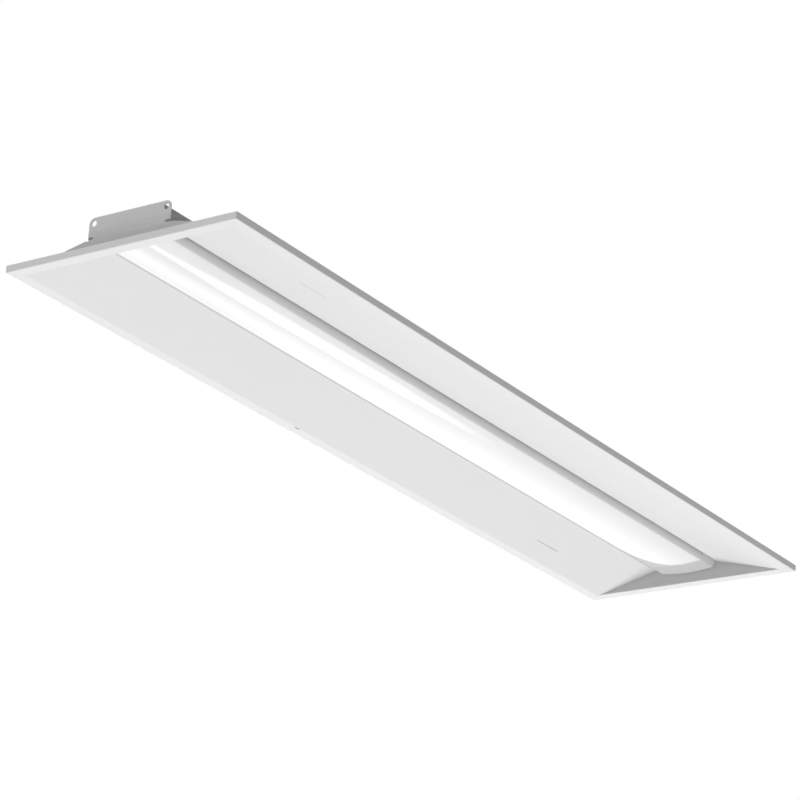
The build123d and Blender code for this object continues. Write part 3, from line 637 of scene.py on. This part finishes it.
plasticGrain = {"fineParts": 8, "rough": 0.1, "bump": 0.01}


def plasticFinish(name, values):
    finish = Finish(name)
    tone = finish.noise(values["size"], detail=3.0).ramp(*noiseSpan)
    grain = finish.noise(values["size"] / plasticGrain["fineParts"], detail=1.0)
    return finish.surface(
        Base_Color=finish.blend(tone, values["dark"], values["light"]),
        Roughness=values["rough"] + (grain - 0.5) * plasticGrain["rough"],
        Normal=finish.bump(grain, plasticGrain["bump"]),
    )


finishes = {
    "panel": coatedSheet("powderCoatedPanel", panelBack),
    "endPlate": coatedSheet("powderCoatedEndPlate", endBack, endWall=True),
    "white_sheet": coatedSheet("powderCoatedPlate", noBack),
    "diffuser": opalFinish("opalDiffuser"),
}
for name, values in steels.items():
    finishes[name] = steelFinish(name, values)
finishes["roofChannel"] = steelFinish("galvanised_channel", steels["galvanised_sheet"], channelSideShade)
finishes["driverCover"] = steelFinish("galvanised_cover", steels["galvanised_sheet"], tip=coverTipShade)
for name, values in plastics.items():
    finishes[name] = plasticFinish(name, values)
print("finishes ready:", len(finishes))


def dress(node, finish):
    mesh = frame["nodes"][node].data
    mesh.materials.clear()
    mesh.materials.append(finish)


for row in frame["record"]["subparts"]:
    dress(row["node"], finishes[row["material_slot"]])
for node in ("side_panel_left", "side_panel_right"):
    dress(node, finishes["panel"])
for node in ("end_plate_near", "end_plate_far"):
    dress(node, finishes["endPlate"])
dress("roof_channel", finishes["roofChannel"])
dress("driver_cover", finishes["driverCover"])
print("frame dressed")

# Frames in which the small pieces are placed, all in millimetres
outward = Matrix.Rotation(-math.pi / 2, 4, "X")  # +Z of a piece to +Y
downward = Matrix.Rotation(math.pi, 4, "X")  # +Z of a piece to -Z
lengthwise = Matrix.Rotation(math.pi / 2, 4, "Y")  # +Z of a piece to +X
otherSide = Matrix.Rotation(math.pi, 4, "Z")

seating = {
    "boxWall": 45.0,
    "boxFloor": 25.55,
    "clipFoot": (407.0, 103.8, 9.35),
    "roofFace": 44.15,
    "groundFace": 45.8,
    "rivetFace": 42.1,
}
wingTurn = math.atan2(panelShape["rise"], panelShape["rimY"] - panelShape["throat"])
wingTilt = Matrix.Rotation(-wingTurn, 4, "X")


def at(x, y, z):
    return Matrix.Translation((x, y, z))


def middleOf(node):
    # the middle of a node's box, in millimetres
    low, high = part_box(node)
    return [(start + end) / 2 / mm for start, end in zip(low, high)]


boxFloor = at(0, seating["boxWall"], seating["boxFloor"]) @ wingTilt
clipSeat = at(*seating["clipFoot"]) @ wingTilt
fastenerZ = middleOf("roof_screws")[2]

# How finely shapes are merged and told apart, in millimetres but for the cosine of faces that face
# one way and the angle in degrees from which an edge is sharp
fineness = {"merge": 0.001, "cut": 0.0001, "level": 0.01, "facing": 0.99, "sharp": 34}
ridgePlace = {"root": 0.2, "crest": 0.7}  # along each turn of a thread


def evenly(count, halfSpan):
    return [(2 * index / (count - 1) - 1) * halfSpan for index in range(count)]


def joined(*shapes):
    whole = bmesh.new()
    for shape in shapes:
        mesh = bpy.data.meshes.new("part")
        shape.to_mesh(mesh)
        shape.free()
        whole.from_mesh(mesh)
        bpy.data.meshes.remove(mesh)
    return whole


def turned(profile, segments, closed=False):
    # a turned piece; the profile is radius and height, and starts and ends on the axis unless closed
    shape = bmesh.new()
    points = [shape.verts.new((radius, 0.0, height)) for radius, height in profile]
    for first, second in zip(points, points[1:] + points[:1] if closed else points[1:]):
        shape.edges.new((first, second))
    geometry = shape.verts[:] + shape.edges[:]
    bmesh.ops.spin(
        shape, geom=geometry, axis=(0, 0, 1), cent=(0, 0, 0), steps=segments, angle=math.tau, use_merge=True
    )
    bmesh.ops.remove_doubles(shape, verts=shape.verts, dist=fineness["merge"])
    bmesh.ops.recalc_face_normals(shape, faces=shape.faces)
    return shape


def thread(radius, low, high, pitch, depth):
    # the crests and roots of a screw thread, from low to high
    count = max(2, round((high - low) / pitch))
    step = (high - low) / count
    rings = []
    for ridge in range(count):
        rings.append((radius - depth, low + step * (ridge + ridgePlace["root"])))
        rings.append((radius, low + step * (ridge + ridgePlace["crest"])))
    return rings


def block(size):
    # a plain block that stands on z = 0
    shape = bmesh.new()
    bmesh.ops.create_cube(shape, size=1.0)
    bmesh.ops.scale(shape, verts=shape.verts, vec=size)
    bmesh.ops.translate(shape, verts=shape.verts, vec=(0, 0, size[2] / 2))
    return shape


def within(value, middle, span):
    return abs(value - middle) < span / 2


def portedBlock(size, edge, pockets):
    # a block with rounded edges and square pockets: the side that each opens on, the middle of its
    # mouth (across, up), the mouth (wide, high) and its depth
    shape = block(size)
    bmesh.ops.bevel(
        shape, geom=shape.edges[:], offset=edge, affect="EDGES", segments=2, profile=0.5, material=-1
    )
    views = []
    for side, middle, mouth, depth in pockets:
        normal = Vector(side)
        across = Vector((0, 1, 0)) if side[0] else Vector((1, 0, 0))
        up = Vector((0, 1, 0)) if side[2] else Vector((0, 0, 1))
        views.append((normal, across, up, middle, mouth, depth))
        for axis, centre, span in ((across, middle[0], mouth[0]), (up, middle[1], mouth[1])):
            for cut in (centre - span / 2, centre + span / 2):
                whole = shape.verts[:] + shape.edges[:] + shape.faces[:]
                bmesh.ops.bisect_plane(
                    shape, geom=whole, dist=fineness["cut"], plane_co=axis * cut, plane_no=axis
                )
    shape.normal_update()
    for normal, across, up, middle, mouth, depth in views:
        outermost = max(vert.co.dot(normal) for vert in shape.verts)
        inMouth = []
        for face in shape.faces:
            centre = face.calc_center_median()
            inWidth = within(centre.dot(across), middle[0], mouth[0])
            inHeight = within(centre.dot(up), middle[1], mouth[1])
            facing = face.normal.dot(normal) > fineness["facing"]
            outside = centre.dot(normal) > outermost - fineness["level"]
            if inWidth and inHeight and facing and outside:
                inMouth.append(face)
        inner = bmesh.ops.extrude_discrete_faces(shape, faces=inMouth)["faces"]
        verts = list({vert for face in inner for vert in face.verts})
        bmesh.ops.translate(shape, verts=verts, vec=-normal * depth)
    return shape


def placePiece(name, shape, places, nodes, slot, inside=None):
    # copies of one shape, as one mesh in metres that stands for the nodes
    single = bpy.data.meshes.new("single")
    shape.to_mesh(single)
    shape.free()
    whole = bmesh.new()
    for place in places:
        start = len(whole.verts)
        whole.from_mesh(single)
        whole.verts.ensure_lookup_table()
        bmesh.ops.transform(whole, matrix=Matrix.Scale(mm, 4) @ place, verts=whole.verts[start:])
    bpy.data.meshes.remove(single)
    for face in whole.faces:
        face.smooth = True
    piece = linkMesh(name, whole)
    piece.data.set_sharp_from_angle(angle=math.radians(fineness["sharp"]))
    piece.data.materials.append(finishes[slot])
    if inside:
        piece.data.materials.append(finishes[inside])
    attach(piece, "housing")
    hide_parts(*nodes)


# Hexagon washer-head screws with an indented head, through the roof channel and the driver box
hexScrew = {
    "washer": 4.2,
    "washerFoot": 0.2,
    "washerSide": 0.45,
    "washerSlope": 0.5,
    "washerHeight": 0.75,
    "head": 3.5,
    "headSunk": 0.05,
    "headHeight": 3.0,
    "chamfer": 0.4,
    "dish": 2.0,
    "dishSlope": 0.4,
    "dishDepth": 0.9,
    "shank": 1.9,
    "pitch": 1.0,
    "threadDepth": 0.3,
    "threadEnd": 0.3,
    "point": 0.8,
}
roofScrew = {"count": 6, "halfSpan": 530.0, "reach": 3.65}
boxScrew = {"x": (-290.0, 70.0), "reach": 4.5}
groundScrew = {"x": -272.0, "reach": 5.3}


def makeHexScrew(reach):
    size = hexScrew
    foot = size["shank"] - size["threadDepth"]
    edge = size["washerFoot"]
    body = [(0.0, -reach), (foot - size["point"] / 2, -reach), (foot, -reach + size["point"] / 2)]
    body += thread(
        size["shank"], -reach + size["point"], -size["threadEnd"], size["pitch"], size["threadDepth"]
    )
    body += [(size["shank"], 0.0), (size["washer"] - edge, 0.0), (size["washer"], edge)]
    body += [(size["washer"], size["washerSide"])]
    body += [(size["washer"] - size["washerSlope"], size["washerHeight"]), (0.0, size["washerHeight"])]
    low, high = size["washerHeight"] - size["headSunk"], size["headHeight"]
    head = [(0.0, low), (size["head"], low), (size["head"], high - size["chamfer"])]
    head += [(size["head"] - size["chamfer"], high), (size["dish"], high)]
    head += [(size["dish"] - size["dishSlope"], high - size["dishDepth"]), (0.0, high - size["dishDepth"])]
    return joined(turned(body, segments=24), turned(head, segments=6))


def sideRow(count, halfSpan, face):
    # seats in a row on the left side of the lamp space, and in a row on the right
    row = [at(x, face, fastenerZ) @ outward for x in evenly(count, halfSpan)]
    return row + [otherSide @ seat for seat in row]


seats = sideRow(roofScrew["count"], roofScrew["halfSpan"], seating["roofFace"])
placePiece("roofScrews", makeHexScrew(roofScrew["reach"]), seats, ["roof_screws"], "zinc_steel")
seats = [at(x, seating["boxWall"], fastenerZ) @ outward for x in boxScrew["x"]]
placePiece("boxScrews", makeHexScrew(boxScrew["reach"]), seats, ["driver_box_screws"], "zinc_steel")
seats = [at(groundScrew["x"], seating["groundFace"], fastenerZ) @ outward]
placePiece("groundScrew", makeHexScrew(groundScrew["reach"]), seats, ["ground_screw"], "green_screw")

# Domed rivets that hold the diffuser's spring clips
rivet = {
    "shank": 1.2,
    "head": 2.3,
    "rise": 1.1,
    "foot": 0.12,
    "dome": ((0.8, 0.7), (0.42, 0.96)),
    "grip": 2.05,
    "count": 5,
    "halfSpan": 480.0,
}


def makeRivet():
    head, rise, grip = rivet["head"], rivet["rise"], rivet["grip"]
    dome = [(head, rivet["foot"])]
    dome += [(head * wide, rise * high) for wide, high in rivet["dome"]]
    dome += [(0.0, rise)]
    inner = [(radius, -height) for radius, height in reversed(dome)]
    outer = [(radius, grip + height) for radius, height in dome]
    middle = [(head, 0.0), (rivet["shank"], 0.0), (rivet["shank"], grip), (head, grip)]
    return turned(inner + middle + outer, segments=20)


seats = sideRow(rivet["count"], rivet["halfSpan"], seating["rivetFace"])
placePiece("clipRivets", makeRivet(), seats, ["lens_clip_rivets"], "aluminium")
print("fasteners placed")

# Lamp boards: LED packages, pan-head screws and poke-in connectors
lampBoards = {
    "under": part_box("led_board_1")[0][2] / mm,
    "middleX": 282.0,
    "rowY": 18.0,
    "halfRow": 270.0,
    "ledCount": 28,
    "screwY": 25.5,
    "screwCount": 5,
    "connectorY": 11.0,
    "linkX": 7.0,
    "crossX": -17.0,
    "feedX": 52.0,
}
ledPackage = {"size": (3.5, 2.8, 0.7), "edge": 0.1, "frame": 0.38, "slope": 0.1, "well": 0.16}
crossScrew = {
    "shank": 1.25,
    "reach": 1.0,
    "head": 2.5,
    "side": 0.45,
    "shoulder": (0.88, 0.95),
    "crown": 1.45,
    "rise": 1.4,
    "arm": 1.15,
    "armHalf": 0.2,
    "waist": 0.34,
    "depth": 0.75,
    "steps": 12,
}
connector = {
    "size": (8.0, 6.0, 2.4),
    "edge": 0.25,
    "pitch": 2.4,
    "mouth": 1.7,
    "mouthUp": 1.2,
    "depth": 0.9,
    "window": (2.6, 1.3),
    "windowBack": (0.8, 0.4),
    "windowDepth": 0.5,
}


def boardRow(x, y, count):
    # seats under a lamp board, evenly along it
    steps = evenly(count, lampBoards["halfRow"])
    return [at(x + step, y, lampBoards["under"]) @ downward for step in steps]


def makeLedPackage():
    shape = block(ledPackage["size"])
    shape.normal_update()
    window = max(shape.faces, key=lambda face: face.normal.z)
    rim = list(window.edges)
    bmesh.ops.bevel(
        shape, geom=rim, offset=ledPackage["edge"], affect="EDGES", segments=1, profile=0.5, material=-1
    )
    shape.normal_update()
    window = max(shape.faces, key=lambda face: (round(face.normal.z, 3), face.calc_area()))
    bmesh.ops.inset_region(shape, faces=[window], thickness=ledPackage["frame"])
    bmesh.ops.inset_region(shape, faces=[window], thickness=ledPackage["slope"])
    bmesh.ops.translate(shape, verts=window.verts, vec=(0, 0, -ledPackage["well"]))
    window.material_index = 1
    return shape


def only(kind, parts):
    return [part for part in parts if isinstance(part, kind)]


def extrudeRim(shape, rim):
    # the vertices and the open edges of the next ring
    made = bmesh.ops.extrude_edge_only(shape, edges=rim)["geom"]
    edges = [edge for edge in only(bmesh.types.BMEdge, made) if edge.is_boundary]
    return only(bmesh.types.BMVert, made), edges


def makeCrossScrew():
    # the head's crown closes in on a cross, which is then sunk into it
    size, steps = crossScrew, crossScrew["steps"]
    perArm, quarter = steps // 4, math.tau / 4
    shoulder, shoulderHigh = size["shoulder"]
    profile = [(0.0, -size["reach"]), (size["shank"], -size["reach"]), (size["shank"], 0.0)]
    profile += [(size["head"], 0.0), (size["head"], size["side"])]
    profile += [(size["head"] * shoulder, shoulderHigh), (size["crown"], size["rise"])]
    shape = turned(profile, steps)
    verts, rim = extrudeRim(shape, [edge for edge in shape.edges if edge.is_boundary])
    for vert in verts:
        angle = math.atan2(vert.co.y, vert.co.x)
        step = round(angle / (math.tau / steps))
        middle = quarter / 2 + (step // perArm) * quarter
        ahead = Vector((math.cos(middle), math.sin(middle), 0))
        beside = Vector((-math.sin(middle), math.cos(middle), 0))
        spot = ahead * size["arm"] + beside * size["armHalf"] * (-1 if step % perArm == 1 else 1)
        if step % perArm == 0:
            spot = Vector((math.cos(angle), math.sin(angle), 0)) * size["waist"]
        vert.co = spot + Vector((0, 0, size["rise"]))
    verts, rim = extrudeRim(shape, rim)
    bmesh.ops.translate(shape, verts=verts, vec=(0, 0, -size["depth"]))
    bmesh.ops.holes_fill(shape, edges=rim, sides=steps)
    bmesh.ops.recalc_face_normals(shape, faces=shape.faces)
    return shape


def makeConnector(side):
    # two wire entries on one side, and the two contact windows over them
    half = connector["pitch"] / 2
    entry = (connector["mouth"], connector["mouth"])
    pockets = [(side, (offset, connector["mouthUp"]), entry, connector["depth"]) for offset in (-half, half)]
    window = connector["window"] if side[0] else connector["window"][::-1]
    backX, backY = connector["windowBack"]
    for offset in (-half, half):
        middle = (-backX * side[0], offset) if side[0] else (offset, -backY * side[1])
        pockets.append(((0, 0, 1), middle, window, connector["windowDepth"]))
    return portedBlock(connector["size"], connector["edge"], pockets)


boardX, boardY, under = lampBoards["middleX"], lampBoards["rowY"], lampBoards["under"]
boardPlaces = [(end * boardX, side * boardY) for side in (1, -1) for end in (1, -1)]
screwSeats = []
for number, (x, y) in enumerate(boardPlaces, start=1):
    row = boardRow(x, y, lampBoards["ledCount"])
    node = f"led_packages_{number}"
    placePiece(f"ledPackages{number}", makeLedPackage(), row, [node], "white_plastic", "led_yellow")
    screwSeats += boardRow(x, math.copysign(lampBoards["screwY"], y), lampBoards["screwCount"])
placePiece("boardScrews", makeCrossScrew(), screwSeats, ["board_screws"], "zinc_steel")

linkX, y = lampBoards["linkX"], lampBoards["connectorY"]
seats = [at(*spot, under) @ downward for spot in ((-linkX, y), (-linkX, -y), (lampBoards["feedX"], y))]
seats += [otherSide @ at(*spot, under) @ downward for spot in ((-linkX, y), (-linkX, -y))]
placePiece("linkConnectors", makeConnector((1, 0, 0)), seats, ["board_connectors"], "white_plastic")
seats = [at(lampBoards["crossX"], y, under) @ downward]
seats.append(otherSide @ at(-lampBoards["crossX"], y, under) @ downward)
placePiece("crossConnectors", makeConnector((0, 1, 0)), seats, ["board_connectors"], "white_plastic")
print("lamp boards fitted")

# Push-in wire connectors and the driver's terminals, on the floor of the driver box
pushIn = {"size": (17.0, 7.0, 7.6), "edge": 0.8, "x": -245.0, "rows": (50.017, 58.617, 67.217)}
pushInPockets = [
    ((1, 0, 0), (0.0, 3.8), (3.0, 3.0), 0.9),
    ((-1, 0, 0), (0.0, 3.8), (3.6, 3.6), 4.0),
    ((0, 0, 1), (-4.6, 0.0), (2.6, 1.5), 1.2),
]
seats = [boxFloor @ at(pushIn["x"], v, 0.0) for v in pushIn["rows"]]
pushInShape = portedBlock(pushIn["size"], pushIn["edge"], pushInPockets)
placePiece("pushInConnectors", pushInShape, seats, ["wire_connectors"], "orange_plastic")

terminal = {
    "size": (9.0, 22.0, 11.0),
    "edge": 0.4,
    "lift": 5.0,
    "middleV": 42.0,
    "nearU": -150.0,
    "farU": 80.0,
    "halfPitch": 3.5,
}
offsets = (-terminal["halfPitch"], terminal["halfPitch"])
terminalPockets = [((-1, 0, 0), (offset, 5.5), (3.0, 3.0), 0.8) for offset in offsets]
terminalPockets += [((-1, 0, 0), (offset, 9.2), (1.8, 1.4), 0.6) for offset in offsets]
halfTerminal = terminal["size"][0] / 2
for name, node, u, turn in (
    ("terminalIn", "driver_terminal_in", terminal["nearU"] + halfTerminal, Matrix.Identity(4)),
    ("terminalOut", "driver_terminal_out", terminal["farU"] - halfTerminal, otherSide),
):
    seat = boxFloor @ at(u, terminal["middleV"], terminal["lift"]) @ turn
    shape = portedBlock(terminal["size"], terminal["edge"], terminalPockets)
    placePiece(name, shape, [seat], [node], "grey_plastic")

# Nuts and threaded studs that hold the driver
nut = {
    "corner": 4.04,
    "flat": 3.55,
    "height": 3.2,
    "bore": 2.25,
    "boreFoot": 0.2,
    "boreSlope": (0.4, 0.3),
    "chamfer": 0.35,
    "seat": 1.0,
}
stud = {
    "radius": 2.0,
    "low": -0.8,
    "high": 7.0,
    "pitch": 0.7,
    "depth": 0.28,
    "plain": 0.2,
    "runOut": 0.4,
    "tip": 0.45,
    "u": (-156.5, 86.5),
}
boreWider, boreDeep = nut["boreSlope"]
nutProfile = [
    (nut["bore"], nut["boreFoot"]),
    (nut["flat"], 0.0),
    (nut["corner"], nut["chamfer"]),
    (nut["corner"], nut["height"] - nut["chamfer"]),
    (nut["flat"], nut["height"]),
    (nut["bore"] + boreWider, nut["height"]),
    (nut["bore"], nut["height"] - boreDeep),
]
radius, runOut = stud["radius"], stud["runOut"]
studProfile = [(0.0, stud["low"]), (radius, stud["low"]), (radius, nut["seat"] + stud["plain"])]
studProfile += thread(radius, nut["seat"] + runOut, stud["high"] - runOut, stud["pitch"], stud["depth"])
studProfile += [(radius - stud["tip"], stud["high"]), (0.0, stud["high"])]
studPlaces = [boxFloor @ at(u, terminal["middleV"], 0.0) for u in stud["u"]]
nutPlaces = [place @ at(0, 0, nut["seat"]) for place in studPlaces]
nutShape = turned(nutProfile, segments=6, closed=True)
placePiece("driverNuts", nutShape, nutPlaces, ["driver_nuts"], "zinc_steel")
placePiece("driverStuds", turned(studProfile, segments=20), studPlaces, ["driver_studs"], "zinc_steel")

# Leads: live, neutral and earth from the push-in connectors, and the pair to the lamp boards
leads = {
    "leadLive": {
        "radius": 1.1,
        "slot": "black_wire",
        "route": (
            (-237.3, 102.671, 14.398), (-216.5, 102.671, 14.398),
            (-174.0, 84.904, 25.969), (-149.3, 84.904, 25.969),
        ),
    },
    "leadNeutral": {
        "radius": 1.1,
        "slot": "white_wire",
        "route": (
            (-237.3, 110.991, 12.223), (-216.5, 110.991, 12.223),
            (-174.0, 91.676, 24.199), (-149.3, 91.676, 24.199),
        ),
    },
    "leadGround": {
        "radius": 1.1,
        "slot": "green_wire",
        "route": (
            (-259.4, 46.6, 38.0), (-232.5, 46.6, 38.0), (-221.5, 65.456, 32.605),
            (-217.5, 81.358, 22.245), (-227.5, 94.351, 16.574), (-237.3, 94.351, 16.574),
        ),
    },
    "leadLedPlus": {
        "radius": 0.8,
        "slot": "red_wire",
        "route": (
            (79.3, 91.676, 24.199), (94.75, 91.676, 24.199), (93.75, 59.0, 38.0), (86.9, 51.0, 38.0),
            (86.9, 36.5, 38.0), (78.9, 17.8, 40.3), (68.9, 9.8, 42.3), (55.3, 9.8, 42.3),
        ),
    },
    "leadLedMinus": {
        "radius": 0.8,
        "slot": "black_wire",
        "route": (
            (79.3, 84.904, 25.969), (91.25, 84.904, 25.969), (90.25, 59.0, 38.0), (85.1, 51.0, 38.0),
            (85.1, 36.5, 38.0), (77.1, 20.2, 40.3), (67.1, 12.2, 42.3), (55.3, 12.2, 42.3),
        ),
    },
}


leadLine = {"roundness": 3, "steps": 10, "order": 3, "merge": 1e-6}  # merge is in metres


def makeLead(name, radius, slot, route):
    # an insulated wire on one smooth spline between its two ends
    line = bpy.data.curves.new(name, "CURVE")
    line.dimensions = "3D"
    line.bevel_depth = radius * mm
    line.bevel_resolution = leadLine["roundness"]
    line.resolution_u = leadLine["steps"]
    line.use_fill_caps = True
    spline = line.splines.new("NURBS")
    spline.points.add(len(route) - 1)
    for point, place in zip(spline.points, route):
        point.co = (*(value * mm for value in place), 1.0)
    spline.order_u = leadLine["order"]
    spline.use_endpoint_u = True
    tube = bpy.data.objects.new(name + "Line", line)
    bpy.context.scene.collection.objects.link(tube)
    bpy.context.view_layer.update()
    shape = bmesh.new()
    mesh = bpy.data.meshes.new_from_object(tube.evaluated_get(bpy.context.evaluated_depsgraph_get()))
    shape.from_mesh(mesh)
    bpy.data.meshes.remove(mesh)
    bpy.data.objects.remove(tube)
    bmesh.ops.remove_doubles(shape, verts=shape.verts, dist=leadLine["merge"])
    bmesh.ops.recalc_face_normals(shape, faces=shape.faces)
    bmesh.ops.scale(shape, verts=shape.verts, vec=(1 / mm, 1 / mm, 1 / mm))
    node = "".join("_" + letter.lower() if letter.isupper() else letter for letter in name)
    placePiece(name, shape, [Matrix.Identity(4)], [node], slot)


for name, values in leads.items():
    makeLead(name, **values)
print("leads laid")

# Snap-in cable bushing and the knock-out disc at the box's other end
bushing = {
    "x": -311.0,
    "profile": (
        (8.0, 0.9), (8.7, 0.1), (9.2, 0.0), (12.3, 0.0), (12.9, 0.4), (13.0, 1.0), (12.8, 2.0), (11.0, 2.0),
        (11.0, 2.9), (11.6, 3.2), (11.1, 5.4), (10.5, 9.0), (9.7, 9.0), (9.0, 8.6), (8.0, 8.2),
    ),
}
knockOut = {
    "x": 110.2,
    "profile": (
        (0.0, 0.0), (10.8, 0.0), (11.0, 0.15), (11.0, 0.65),
        (10.8, 0.8), (7.2, 0.8), (6.8, 0.55), (0.0, 0.55),
    ),
}
entry = middleOf("cable_bushing")[1:]
seat = at(bushing["x"], *entry) @ lengthwise
bushingShape = turned(bushing["profile"], segments=40, closed=True)
placePiece("cableBushing", bushingShape, [seat], ["cable_bushing"], "black_plastic")
seat = at(knockOut["x"], *entry) @ lengthwise
discShape = turned(knockOut["profile"], segments=40)
placePiece("knockOutDisc", discShape, [seat], ["knockout_disc"], "galvanised_sheet")

# Hinge pins of the cover, and the headed pins of the grid clips
hingePin = {"radius": 1.0, "reach": 20.4, "chamfer": 0.3, "x": (-239.0, 41.0)}
clipPin = {
    "radius": 1.5,
    "reach": 30.0,
    "head": 2.6,
    "rise": 1.0,
    "dome": ((1.0, 0.3), (0.85, 0.8), (0.5, 1.0)),
    "seat": (0, 7.0, 4.1),
}
radius, reach, chamfer = hingePin["radius"], hingePin["reach"], hingePin["chamfer"]
profile = [(0.0, -reach), (radius - chamfer, -reach), (radius, -reach + chamfer)]
profile += [(radius, reach - chamfer), (radius - chamfer, reach), (0.0, reach)]
hinge = middleOf("hinge_pins")[1:]
seats = [at(x, *hinge) @ lengthwise for x in hingePin["x"]]
placePiece("hingePins", turned(profile, segments=20), seats, ["hinge_pins"], "zinc_steel")

radius, reach, head, rise = clipPin["radius"], clipPin["reach"], clipPin["head"], clipPin["rise"]
outer = [(head, reach)] + [(head * wide, reach + rise * high) for wide, high in clipPin["dome"]]
outer += [(0.0, reach + rise)]
inner = [(wide, -along) for wide, along in reversed(outer)]
profile = inner + [(radius, -reach), (radius, reach)] + outer
seat = clipSeat @ at(*clipPin["seat"]) @ lengthwise
placePiece("clipPinLeft", turned(profile, segments=24), [seat], ["clip_pin_left"], "zinc_steel")
placePiece("clipPinRight", turned(profile, segments=24), [otherSide @ seat], ["clip_pin_right"], "zinc_steel")
print("small pieces placed")
